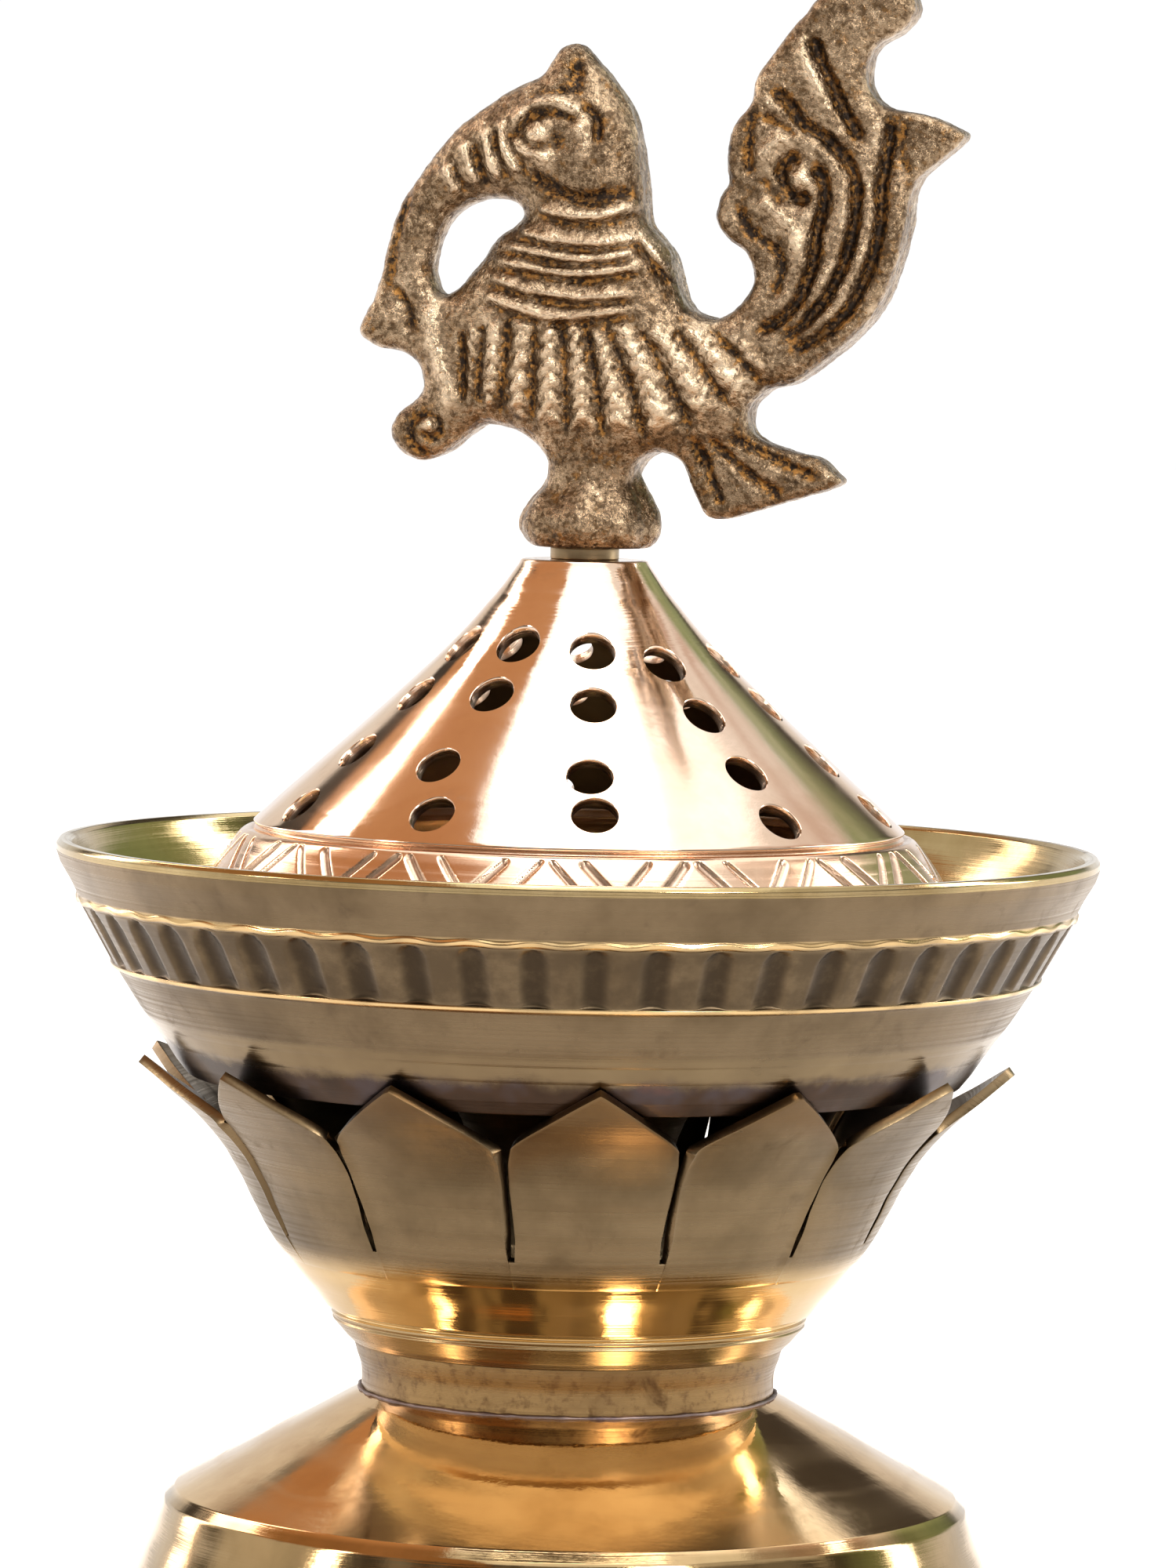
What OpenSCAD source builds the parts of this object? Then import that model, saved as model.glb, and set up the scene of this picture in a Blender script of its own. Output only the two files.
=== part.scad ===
// Table censer: a fluted fire bowl in a cup of lotus petals on a turned foot,
// with a pierced conical lid that lifts off by a cast bird finial.
// Millimetres, +Z up, origin at the centre of the foot's bottom face.
// The bird looks along -X.

/* [Base] */
// Radius of the foot ring
foot_r = 57.5; // [56:0.5:59]
// Height of the shoulder edge above the table
shoulder_z = 36; // [35:0.5:37]
// Radius of the shoulder edge
shoulder_r = 46.5; // [45.5:0.5:47.5]
// Wall of the hollow base
base_wall = 2.2; // [1.8:0.1:2.6]

/* [Neck] */
// Height of the seam between base and neck
seam_z = 49; // [48.5:0.5:50]
// Radius of the neck at the seam
neck_r = 23.8; // [23.4:0.2:24.2]
// Height of the neck collar
collar_h = 5.6; // [5:0.2:6]

/* [Lotus cup] */
// Number of petals
petals = 13; // [10:1:14]
// Thickness of the petal sheet
petal_wall = 1.2; // [0.9:0.1:1.4]
// Height of a petal tip above the table
tip_z = 87.5; // [86.5:0.5:88]
// Height of the notch between two petals
notch_z = 80.7; // [79:0.1:82]
// Height of the slot's lower end
slot_z = 65; // [64:0.1:68]
// Width of the slot between two petals
slot_w = 1.1; // [0.8:0.1:1.4]
// Turn of the petals from the bird's direction
petal_turn = 8.3; // [0:0.1:27]

/* [Bowl] */
// Radius of the rim
rim_r = 60; // [59.5:0.5:60.5]
// Height of the rim above the table
rim_z = 112; // [111.5:0.5:112.5]
// Number of flutes in the band
flutes = 52; // [40:1:60]
// Depth of a flute
flute_depth = 0.6; // [0.4:0.1:0.8]
// Turn of the flutes from the bird's direction
flute_turn = 0.4; // [0:0.1:6.9]
// Height of the inner floor
floor_z = 88.2; // [88:0.1:88.6]
// Height of the ledge that the lid sits on
ledge_z = 97; // [96.5:0.5:97.5]

/* [Lid] */
// Columns of smoke holes round the lid
hole_columns = 10; // [8:1:10]
// Diameter of a smoke hole
hole_d = 5.2; // [4.6:0.1:5.4]
// Turn of the hole columns from the bird's direction
hole_turn = 34.3; // [0:0.1:35.9]
// Number of chevrons engraved round the lid's shoulder
chevrons = 15; // [12:1:18]
// Turn of the chevrons from the bird's direction
chevron_turn = 0.6; // [0:0.1:23.9]
// Height of the lid's flat top
lid_top_z = 145; // [144.5:0.5:145.5]
// Wall of the lid
lid_wall = 1.5; // [1.3:0.1:1.7]
// Radial gap between the lid's skirt and the bowl
skirt_gap = 0.6; // [0.4:0.1:0.8]

/* [Finial] */
// Thickness of the bird's body
bird_body_t = 14; // [13:0.5:15]
// Thickness across the wings
bird_wing_t = 15.6; // [15:0.2:16.4]
// Thickness of the bird's tail and beak
bird_edge_t = 8; // [7:0.5:9]
// Height of the spacer under the bird
spacer_h = 1.4; // [1.2:0.1:1.8]

/* [Hidden] */
$fn = 96;

// Fasteners: M6 tie bolt through the stand, M5 stud through the lid's top
bolt_r = 3;
stud_r = 2.5;
clear = 0.2;
hex_fn = 6;
top_plate = 2.4;
collar_top_z = seam_z + collar_h;
cup_floor_z = 61;
bowl_under_z = floor_z - 2.8;
lid_ledge_z = 114.25;
lid_ledge_r = 37.5;
lid_under_z = ledge_z;
bird_z = lid_top_z + spacer_h;

// ---- curve helpers -------------------------------------------------------
function reverse(p) = [for (i = [len(p) - 1:-1:0]) p[i]];
function bezier(a, b, c, d, n = 8) =
    [for (i = [0:n]) let (t = i / n, u = 1 - t)
        u * u * u * a + 3 * u * u * t * b + 3 * u * t * t * c + t * t * t * d];
// The same curve moved inwards, for the inside of a turned wall
function inside(p, wall) = [for (q = p) [q.x - wall, q.y]];
// A closed curve through every point (Catmull-Rom), n pieces to each span
function smooth_loop(p, n = 3) = let (m = len(p))
    [for (i = [0:m - 1], k = [0:n - 1])
        let (a = p[(i + m - 1) % m], b = p[i], c = p[(i + 1) % m], d = p[(i + 2) % m], t = k / n)
        0.5 * (2 * b + t * (c - a) + t * t * (2 * a - 5 * b + 4 * c - d)
            + t * t * t * (3 * b - a - 3 * c + d))];
// An open curve through every point
function smooth_line(p, n = 3) = let (m = len(p))
    concat([for (i = [0:m - 2], k = [0:n - 1])
        let (a = p[max(i - 1, 0)], b = p[i], c = p[i + 1], d = p[min(i + 2, m - 1)], t = k / n)
        0.5 * (2 * b + t * (c - a) + t * t * (2 * a - 5 * b + 4 * c - d)
            + t * t * t * (3 * b - a - 3 * c + d))], [p[m - 1]]);

module hex_nut(across, h, hole_r) {
    difference() {
        cylinder(h = h, r = across / 2 / cos(30), $fn = hex_fn);
        translate([0, 0, -1]) cylinder(h = h + 2, r = hole_r);
    }
}

module washer(r, h, hole_r) {
    difference() {
        cylinder(h = h, r = r);
        translate([0, 0, -1]) cylinder(h = h + 2, r = hole_r);
    }
}

// ---- stand ---------------------------------------------------------------
skirt = bezier([shoulder_r, shoulder_z], [shoulder_r + 2.8, shoulder_z - 7.5],
               [foot_r - 4.5, 22], [foot_r - 4.5, 14], 9);
cove = bezier([foot_r - 6, 13], [foot_r - 6, 9], [foot_r - 3.5, 6], [foot_r - 0.6, 5.2], 6);

module base_shell() {
    foot_in = foot_r - 4;
    color("#b88a45") rotate_extrude() polygon(concat(
        [[bolt_r + clear, seam_z], [neck_r, seam_z]],
        skirt,
        cove,
        [[foot_r, 4.6], [foot_r, 0.4], [foot_r - 0.4, 0], [foot_in, 0], [foot_in, 3],
         [foot_in - 4, 12]],
        reverse(inside(skirt, base_wall)),
        [[neck_r - 1.8, seam_z - top_plate], [bolt_r + clear, seam_z - top_plate]]));
}

module neck_collar() {
    bore_r = 17;
    color("#8f6c3c") rotate_extrude() polygon(concat(
        [[bore_r, seam_z], [neck_r, seam_z]],
        bezier([neck_r, seam_z + 0.8], [neck_r, seam_z + 2], [neck_r + 0.2, seam_z + 3.2],
               [neck_r + 1, collar_top_z], 5),
        [[bore_r, collar_top_z]]));
}

module braze_seam() {
    fillet = 0.8;
    slope = (shoulder_r - neck_r) / (seam_z - shoulder_z);
    color("#6d5560") rotate_extrude() polygon([
        [neck_r, seam_z], [neck_r + fillet, seam_z - fillet / slope], [neck_r, seam_z + fillet * 0.8]]);
}

// The cup's outline from the neck ring up to a petal tip
cup_curve = smooth_line([[28.2, 58.9], [31.4, 62.5], [34.1, 66.1], [36.1, 69.7], [37.8, 73.3],
                         [39.8, 76.9], [42.6, 80.5], [45.8, 84], [49.5, tip_z]], 2);

module petal_notch() {
    half_pitch = 180 / petals;
    tip_r = 49.5;
    blunt = 0.6;
    tip_w = tip_r * sin(half_pitch) - blunt;
    // the cut runs on past the tips
    top_w = slot_w / 2 + 1.2 * (tip_w - slot_w / 2);
    top_z = notch_z + 1.2 * (tip_z - notch_z);
    rotate([90, 0, 90]) translate([0, 0, 24]) linear_extrude(34) polygon([
        [0.15, slot_z], [slot_w * 0.6, slot_z + 4], [slot_w / 2, notch_z], [top_w, top_z],
        [top_w, top_z + 4], [-top_w, top_z + 4], [-top_w, top_z], [-slot_w / 2, notch_z],
        [-slot_w * 0.6, slot_z + 4], [-0.15, slot_z]]);
}

module lotus_cup() {
    bore_r = 17;
    edge_r = neck_r + 1.5;
    color("#9b7a44") difference() {
        rotate_extrude() polygon(concat(
            [[bore_r, collar_top_z], [edge_r, collar_top_z], [edge_r, collar_top_z + 0.4],
             [25.8, 55.4], [27.1, 57.1], [27.6, 57.3], [27.6, 57.9], [27.4, 58.1], [27.9, 58.6]],
            cup_curve,
            reverse([for (q = cup_curve) if (q.y > cup_floor_z + 1) [q.x - petal_wall, q.y + 0.3]]),
            [[cup_curve[0].x - 1.4, cup_floor_z], [bolt_r + clear, cup_floor_z],
             [bolt_r + clear, cup_floor_z - top_plate], [bore_r, cup_floor_z - top_plate]]));
        for (i = [0:petals - 1]) rotate(360 / petals * (i + 0.5) + petal_turn) petal_notch();
    }
}

module bowl_pedestal() {
    foot = 15;
    waist = 10.5;
    head = 16;
    color("#7d5f33") rotate_extrude() polygon(concat(
        [[bolt_r + clear, cup_floor_z], [foot, cup_floor_z], [foot, cup_floor_z + 1.6]],
        bezier([foot - 1, cup_floor_z + 2.2], [waist - 0.5, cup_floor_z + 5],
               [waist - 0.5, bowl_under_z - 7], [head - 1, bowl_under_z - 2.2], 8),
        [[head, bowl_under_z - 1.6], [head, bowl_under_z], [bolt_r + clear, bowl_under_z]]));
}

// The fluted band lies on a cone between these two rings
band_top = [57.2, 104.7];
band_low = [53.5, 98.1];

module flute_cuts() {
    cutter_r = 3;
    band = band_top - band_low;
    lean = atan2(band.x, band.y);
    for (i = [0:flutes - 1]) rotate(360 / flutes * i + flute_turn)
        translate([band_low.x + (cutter_r - flute_depth) / cos(lean), 0, band_low.y])
            rotate([0, lean, 0]) cylinder(h = norm(band), r = cutter_r);
}

module bowl() {
    seat_r = 45.2;
    head_r = 2 * bolt_r;
    outer = [[rim_r - 0.3, rim_z], [rim_r + 0.1, rim_z - 0.4], [rim_r, rim_z - 1.4],
             [59.3, 109.2], [58.3, 107.4], [57.6, 105.8], [57.7, 105.2], band_top, band_low,
             [52.9, 97.8], [51.2, 94.8], [50.1, 93], [48.8, 91.2], [47.7, 89.5], [47.5, 89.3],
             [45.8, 86.8], [44.6, bowl_under_z]];
    inner = [[rim_r - 1.4, rim_z], [rim_r - 2, rim_z - 0.6], [57.2, 109], [55.2, 105.4],
             [51.6, 99.4], [50.4, ledge_z], [seat_r, ledge_z], [seat_r - 0.4, 93]];
    color("#a07a42") difference() {
        rotate_extrude() polygon(concat(
            [[bolt_r + clear, bowl_under_z]], reverse(outer), inner,
            bezier([seat_r - 0.6, 91.5], [seat_r - 0.9, floor_z + 0.6], [seat_r - 1.6, floor_z],
                   [seat_r - 4.5, floor_z], 4),
            [[head_r + 0.1, floor_z], [bolt_r + clear, bowl_under_z]]));
        flute_cuts();
    }
}

module tie_bolt() {
    low_z = 37.5;
    head_r = 2 * bolt_r;
    color("#c9a25a") difference() {
        rotate_extrude() polygon([
            [0, low_z], [bolt_r - 0.6, low_z], [bolt_r, low_z + 0.6], [bolt_r, floor_z - 2.7],
            [head_r, floor_z], [0, floor_z]]);
        // screwdriver slot
        translate([-head_r - 1, -0.6, floor_z - 1.2]) cube([2 * head_r + 2, 1.2, 3]);
    }
}

module base_washer() {
    color("#b9a06a") translate([0, 0, seam_z - top_plate - 1.5]) washer(9, 1.5, bolt_r + clear);
}

module base_nut() {
    color("#b9a06a") translate([0, 0, seam_z - top_plate - 6.5]) hex_nut(10, 5, bolt_r);
}

// ---- lid -----------------------------------------------------------------
lid_neck = bezier([7.4, lid_top_z - 0.3], [9.6, 141.6], [13.4, 136.9], [17.7, 132.6], 8);
lid_shoulder = bezier([38.4, 113.6], [42.4, 110.4], [45.3, 104], [46.2, lid_under_z + 0.6], 7);
hole_rows = [[15.2, 135], [21.2, 129.3], [29.1, 122.1], [34.1, 117.5]];

module smoke_hole(at) {
    lean = 43;
    translate([at.x, 0, at.y]) rotate([0, lean, 0]) translate([0, 0, -4]) cylinder(h = 7, d = hole_d);
}

// Pairs of slanted lines engraved in the shoulder, leaning left and right in turn
module chevron_cuts() {
    depth = 0.3;
    lean = 45;
    pair_gap = 4;
    pair_turn = 5;
    pitch = 360 / chevrons;
    intersection() {
        rotate_extrude() polygon(concat(
            [for (q = lid_shoulder) if (q.y > 102) [q.x - depth, q.y]],
            reverse([for (q = lid_shoulder) if (q.y > 102) [q.x + 2, q.y]])));
        for (i = [0:chevrons - 1], side = [-1, 1], k = [-1, 1])
            rotate(pitch * i + chevron_turn + side * pair_turn)
                translate([38, k * pair_gap / 2, 110.6])
                    rotate([side * lean, 0, 0]) cube([14, 0.6, 7.4], center = true);
    }
}

ring_top_z = lid_ledge_z - 0.5;

// The pierced cone, whose sharp lip overhangs the ring below it
module lid_cone() {
    color("#c98f5e") difference() {
        rotate_extrude() polygon(concat(
            [[stud_r + clear, lid_top_z], [7.1, lid_top_z]],
            lid_neck,
            [[lid_ledge_r, lid_ledge_z], [lid_ledge_r, lid_ledge_z - 0.3],
             [lid_ledge_r - 0.4, ring_top_z], [lid_ledge_r - 2.1, ring_top_z]],
            reverse([for (q = lid_neck) if (q.y < lid_top_z - 2.6) [q.x - 2, q.y]]),
            [[5.9, lid_top_z - 2], [stud_r + clear, lid_top_z - 2]]));
        for (c = [0:hole_columns - 1], row = hole_rows)
            rotate(360 / hole_columns * c + hole_turn) smoke_hole(row);
    }
}

// The engraved shoulder, which rests on the bowl's ledge and is centred by its skirt
module lid_ring() {
    skirt_r = 45.2 - skirt_gap - 0.2;
    skirt_low_z = lid_under_z - 3.5;
    neck_in = lid_ledge_r - 1.9;
    color("#c98f5e") difference() {
        rotate_extrude() polygon(concat(
            [[neck_in, ring_top_z], [38.1, ring_top_z]],
            lid_shoulder,
            [[46.2, lid_under_z], [skirt_r, lid_under_z], [skirt_r, skirt_low_z],
             [skirt_r - lid_wall, skirt_low_z], [skirt_r - lid_wall, lid_under_z]],
            reverse([for (q = lid_shoulder) if (q.y > lid_under_z + 2 && q.y < 113.2)
                [q.x - lid_wall, q.y - 0.6]]),
            [[neck_in, ring_top_z - 1.5]]));
        chevron_cuts();
    }
}

module lid_washer() {
    color("#b9a06a") translate([0, 0, lid_top_z - 3]) washer(5, 1, stud_r + clear);
}

module lid_nut() {
    color("#b9a06a") translate([0, 0, lid_top_z - 7]) hex_nut(8, 4, stud_r);
}

module finial_stud() {
    color("#c9a25a") translate([0, 0, lid_top_z - 9]) cylinder(h = spacer_h + 17, r = stud_r);
}

module finial_spacer() {
    color("#a5673f") translate([0, 0, lid_top_z]) washer(3.95, spacer_h, stud_r + clear);
}

// ---- bird ----------------------------------------------------------------
// Outline in the bird's own plane: x along the body, y up from the foot's bottom
bird_outline = [
    // crown and back of the head
    [-2.3, 57.4], [-0.6, 57], [1.3, 54.9], [4.1, 51.1], [5.7, 46.6], [6.4, 41.7], [6.7, 38],
    // leaf on the nape and the dip before the tail
    [7.4, 36.3], [9.3, 34.4], [10.3, 31.9], [11, 28.6], [13.3, 26.9], [16.3, 26.7], [18.4, 28.2],
    [19.7, 31.2], [19.2, 33.7], [17.4, 35.1], [15.3, 37.1], [15.3, 39.7], [16.6, 41.6],
    // inner edge of the tail up to its curled top
    [16.3, 44], [16.8, 47.3], [18.6, 50.7], [19.3, 53.3], [21.3, 56.8], [23.6, 59.6], [26.4, 63.1],
    [29.5, 65.8], [33, 66.4], [36.2, 64.9], [37.6, 61.9], [36.2, 59.9], [33.2, 57.5], [31.9, 54.6],
    [32.5, 51.6], [34.2, 50.5],
    // horn and outer edge of the tail
    [38.8, 49.7], [42.8, 48.2], [43.2, 46.9], [40.1, 44.4], [37.5, 41.3], [36.9, 36.8],
    [36, 32.2], [34, 27.7], [31.1, 24.4], [27.7, 21.8], [24.2, 19.2], [21.5, 18.4], [19.4, 16.2],
    [19.2, 13.9], [21.2, 12],
    // lower tail fan
    [26, 11.1], [28.6, 10.1], [29.9, 8], [24.4, 6.1], [17.6, 3.9], [15.1, 3.6], [13.7, 5.8],
    [12.2, 9.3], [10.4, 10.8], [8, 10.6], [6.5, 9.2],
    // leg, which runs down into the round foot
    [4.4, 7.4], [3.4, 5], [3.4, 1], [-2.4, 1], [-2.4, 5], [-3, 7.2], [-4, 8.8], [-4.6, 10.6],
    // belly, curl and chest
    [-6.8, 12.9], [-11.2, 13.8], [-15, 11.3], [-18.9, 9.4], [-22, 11], [-22.6, 13.4],
    [-20.2, 15.8], [-19, 17.8], [-19.7, 20.4], [-22, 21.9], [-24.9, 22.2], [-26.7, 24.2],
    [-26, 26.2],
    // outside of the beak
    [-25, 28], [-24.2, 31.6], [-23.3, 35.8], [-21.6, 39.6], [-19.4, 43.2], [-17, 46.4],
    [-12.9, 49.8], [-6.6, 53.4], [-4.9, 55.5], [-3.7, 57.1]];
beak_loop = [
    [-7.4, 38.4], [-8.6, 39.4], [-11.6, 39.5], [-14.5, 38.7], [-16.8, 36.3], [-18.1, 32.6],
    [-17.8, 29.5], [-16.6, 28.5], [-15, 29.8], [-12.9, 32], [-11.1, 34.4], [-8.8, 36], [-7.6, 37.3]];
// Thick middle of the bird: head, neck, breast and root of the tail
bird_middle = [
    [-2.4, 53.5], [0.4, 52], [3.2, 48.5], [4.6, 43], [4.8, 37.5], [7.4, 32], [9.6, 27.4], [14, 24.8],
    [19, 24], [22, 21.6], [17.5, 18.4], [14.6, 15.6], [10.5, 13], [4.5, 12], [-3, 12.2], [-7, 14.6],
    [-12, 16], [-14.6, 20], [-14, 26], [-11, 31], [-7.6, 35.2], [-6, 38.5], [-8.8, 42.4],
    [-11, 46], [-7.4, 50]];
wing = [
    [-11.8, 24.6], [-7, 25.4], [0, 25.1], [7, 25.2], [12.6, 25], [19.2, 21], [18.2, 18.2],
    [15.2, 15.6], [10.8, 13.8], [5.8, 12.9], [0.7, 13.2], [-3.5, 13.9], [-7.4, 14.8],
    [-11.9, 16.2], [-13.6, 20]];
// Grooves between the feathers of the wing, across the neck, on the beak and in the tail
wing_grooves = [
    [[-10, 25.6], [-11, 21], [-12, 15.4]], [[-7.3, 26], [-7.4, 20], [-7.2, 13.8]],
    [[-3.8, 26], [-3.7, 20], [-3.5, 13]], [[-1, 26], [-0.3, 20], [0.8, 12]],
    [[1.7, 26], [3.4, 20], [6.2, 12]], [[5.4, 26], [8, 20], [11, 13]],
    [[9, 26], [12, 21], [16.2, 15.4]], [[13, 25.6], [16, 22.6], [19.8, 19]]];
neck_grooves = [
    [[-8.8, 42.3], [-3.4, 39.9], [2.5, 40.7], [6.6, 42.4]],
    [[-8, 37.6], [-2, 36.8], [3, 37.3], [7, 38.6]], [[-9, 35], [-3.6, 33.4], [2, 33], [7, 35.4]],
    [[-11.4, 32], [-5, 30.2], [1, 29.6], [8, 31.6]], [[-13, 29], [-6, 27.8], [2, 27.2], [9.4, 28.4]],
    [[-16.4, 45.4], [-15.2, 41.7]], [[-13.9, 48], [-12.4, 42]], [[-11.7, 49], [-10.4, 43.1]],
    [[-1.6, 49.8], [-0.6, 46.6]]];
tail_grooves = [
    [[23.5, 58.8], [26.4, 54], [29.9, 46.9]],
    [[19.4, 52.7], [24.1, 48.1], [27.8, 45.9], [29.5, 43.1], [29.6, 39.3], [28.8, 34.8],
     [27.5, 30.9], [25.7, 27.3]],
    [[33.7, 49.7], [32.6, 46], [32.5, 37.3], [31.1, 31.4], [29.6, 27.8]],
    [[25.5, 41], [25.3, 37], [25, 32], [23.8, 29]], [[17.4, 41.3], [19.9, 39], [22.5, 37]],
    [[12.7, 12.9], [16.6, 5.9]], [[13.9, 12.4], [23.2, 6.7]], [[21, 11.6], [26.6, 9]]];

// A band of width w along an open line
function normal_at(p, i) =
    let (d = p[min(i + 1, len(p) - 1)] - p[max(i - 1, 0)]) [-d.y, d.x] / norm(d);
function stroke(p, w) = concat(
    [for (i = [0:len(p) - 1]) p[i] + normal_at(p, i) * w / 2],
    [for (i = [len(p) - 1:-1:0]) p[i] - normal_at(p, i) * w / 2]);

module on_both_sides(from, depth) {
    for (side = [0, 1]) mirror([0, 0, side]) translate([0, 0, from]) linear_extrude(depth) children();
}

module bird_grooves(lines, face, w = 0.9, depth = 0.7) {
    for (line = lines) on_both_sides(face - depth, 3) polygon(stroke(line, w));
}

module bird_flat() {
    linear_extrude(bird_edge_t, center = true) difference() {
        polygon(smooth_loop(bird_outline, 2));
        polygon(smooth_loop(beak_loop, 2));
    }
    linear_extrude(bird_body_t, center = true) polygon(smooth_loop(bird_middle, 2));
    linear_extrude(bird_wing_t, center = true) polygon(smooth_loop(wing, 1));
    // eyes, scroll and gem of the tail, volute at the chest strand's end
    on_both_sides(bird_body_t / 2 - 0.5, 1.1) translate([-6.9, 47.3]) circle(r = 1.7);
    on_both_sides(bird_edge_t / 2 - 0.5, 1.1) translate([23.3, 41.9]) circle(r = 2.6);
    on_both_sides(bird_edge_t / 2 - 0.5, 1.1) translate([21.4, 48.7]) circle(r = 1.3);
    on_both_sides(bird_edge_t / 2 - 0.5, 1.3) translate([-19.7, 13]) circle(r = 2.4);
}

module bird_finial() {
    foot = 8;
    color("#8a6a3c") difference() {
        union() {
            translate([0, 0, bird_z]) rotate([90, 0, 0]) difference() {
                bird_flat();
                bird_grooves(wing_grooves, bird_wing_t / 2);
                bird_grooves(neck_grooves, bird_body_t / 2);
                bird_grooves(tail_grooves, bird_edge_t / 2);
            }
            translate([0.5, 0, bird_z]) rotate_extrude() polygon(concat(
                [[0, 0], [6.2, 0]],
                bezier([foot - 0.4, 1.4], [foot + 0.4, 3.4], [5.8, 6.2], [4.4, 8.6], 6),
                [[4.6, 12], [0, 12]]));
        }
        translate([0, 0, bird_z - 1]) cylinder(h = 9.4, r = stud_r);
    }
}

base_shell();
neck_collar();
braze_seam();
lotus_cup();
bowl_pedestal();
bowl();
tie_bolt();
base_washer();
base_nut();
lid_cone();
lid_ring();
lid_washer();
lid_nut();
finial_stud();
finial_spacer();
bird_finial();
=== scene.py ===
import math

import bmesh
import bpy
import numpy as np
from mathutils import Matrix, Vector, geometry, noise


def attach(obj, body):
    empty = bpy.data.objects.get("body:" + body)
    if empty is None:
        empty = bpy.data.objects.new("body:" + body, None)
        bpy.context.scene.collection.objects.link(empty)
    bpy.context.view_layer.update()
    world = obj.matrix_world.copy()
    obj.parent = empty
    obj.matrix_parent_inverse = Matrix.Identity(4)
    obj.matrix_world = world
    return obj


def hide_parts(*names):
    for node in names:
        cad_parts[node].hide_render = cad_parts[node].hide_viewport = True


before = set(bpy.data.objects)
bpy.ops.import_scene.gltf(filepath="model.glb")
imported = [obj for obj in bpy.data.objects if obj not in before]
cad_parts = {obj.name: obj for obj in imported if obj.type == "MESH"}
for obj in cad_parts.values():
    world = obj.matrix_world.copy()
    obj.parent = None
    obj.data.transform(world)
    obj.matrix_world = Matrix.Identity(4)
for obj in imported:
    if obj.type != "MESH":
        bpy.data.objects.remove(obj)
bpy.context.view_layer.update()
MM = 0.001
BIRD_LIMIT = 7.8  # half thickness of the bird's CAD solid, mm
RELIEF_LIMIT = 7.75
SCENE = bpy.context.scene

# Turn of the repeats about the axis, in degrees from the bird's direction
PETALS, PETAL_TURN = 13, 8.3
FLUTES, FLUTE_TURN = 52, 0.4
HOLES, HOLE_TURN = 10, 34.3
CHEVRONS, CHEVRON_TURN = 15, 0.6


# ---------------------------------------------------------------- camera
def add_camera():
    azimuth, reach = math.radians(12), 0.930
    aim = Vector((0, 0, 0.1191))
    eye = Vector((reach * math.sin(azimuth), -reach * math.cos(azimuth), 0.1806))
    ahead = (aim - eye).normalized()
    right = ahead.cross(Vector((0, 0, 1))).normalized()
    up = right.cross(ahead)
    roll = math.radians(1.2)
    right, up = (right * math.cos(roll) + up * math.sin(roll),
                 up * math.cos(roll) - right * math.sin(roll))
    shift = right * 0.00093
    data = bpy.data.cameras.new("camera")
    data.sensor_width = 36
    data.lens = 10330 / 2000 * 36
    data.clip_start, data.clip_end = 0.05, 50
    camera = bpy.data.objects.new("camera", data)
    turn = Matrix((right, up, -ahead)).transposed().to_4x4()
    camera.matrix_world = Matrix.Translation(eye + shift) @ turn
    SCENE.collection.objects.link(camera)
    SCENE.camera = camera


# ---------------------------------------------------------------- outlines
def curve(points, n=4):
    """Smooth open curve through the points."""
    p = np.array(points, float)
    m = len(p)
    out = []
    for i in range(m - 1):
        a, b, c, d = p[max(i - 1, 0)], p[i], p[i + 1], p[min(i + 2, m - 1)]
        for k in range(n):
            t = k / n
            out.append(0.5 * (2 * b + t * (c - a) + t * t * (2 * a - 5 * b + 4 * c - d)
                              + t ** 3 * (3 * b - a - 3 * c + d)))
    out.append(p[-1])
    return [tuple(q) for q in out]


def bezier(a, b, c, d, n=8):
    a, b, c, d = (np.array(q, float) for q in (a, b, c, d))
    out = []
    for i in range(n + 1):
        t = i / n
        u = 1 - t
        out.append(tuple(u ** 3 * a + 3 * u * u * t * b + 3 * u * t * t * c + t ** 3 * d))
    return out


def smooth_loop(points, n=3):
    p = np.array(points, float)
    m = len(p)
    out = []
    for i in range(m):
        a, b, c, d = p[i - 1], p[i], p[(i + 1) % m], p[(i + 2) % m]
        for k in range(n):
            t = k / n
            out.append(0.5 * (2 * b + t * (c - a) + t * t * (2 * a - 5 * b + 4 * c - d)
                              + t ** 3 * (3 * b - a - 3 * c + d)))
    return np.array(out)


def rounded(points, radius=0.25, sharp=20, arc=4):
    """Closed outline with a small arc at each sharp corner."""
    p = [np.array(q, float) for q in points]
    p = [q for i, q in enumerate(p) if np.linalg.norm(q - p[i - 1]) > 1e-4]
    out = []
    for i, q in enumerate(p):
        a, b = p[i - 1], p[(i + 1) % len(p)]
        da, db = q - a, b - q
        la, lb = np.linalg.norm(da), np.linalg.norm(db)
        da, db = da / la, db / lb
        turn = math.degrees(math.acos(max(-1, min(1, float(da @ db)))))
        if turn < sharp:
            out.append(q)
            continue
        t = min(radius * math.tan(math.radians(min(turn, 150)) / 2), 0.42 * la, 0.42 * lb)
        s, e = q - da * t, q + db * t
        for k in range(arc + 1):
            u = k / arc
            out.append((1 - u) ** 2 * s + 2 * u * (1 - u) * q + u * u * e)
    return out


def spaced(points, step=1.2, margin=0.12):
    """Adds points along long stretches, so that shading stays even."""
    out = []
    n = len(points)
    for i in range(n):
        a, b = np.array(points[i]), np.array(points[(i + 1) % n])
        length = np.linalg.norm(b - a)
        out.append(a)
        if length > 5 * margin:
            count = max(1, int(math.ceil((length - 2 * margin) / step)))
            for k in range(count + 1):
                out.append(a + (b - a) * (margin + (length - 2 * margin) * k / count) / length)
    return np.array(out)


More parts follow.
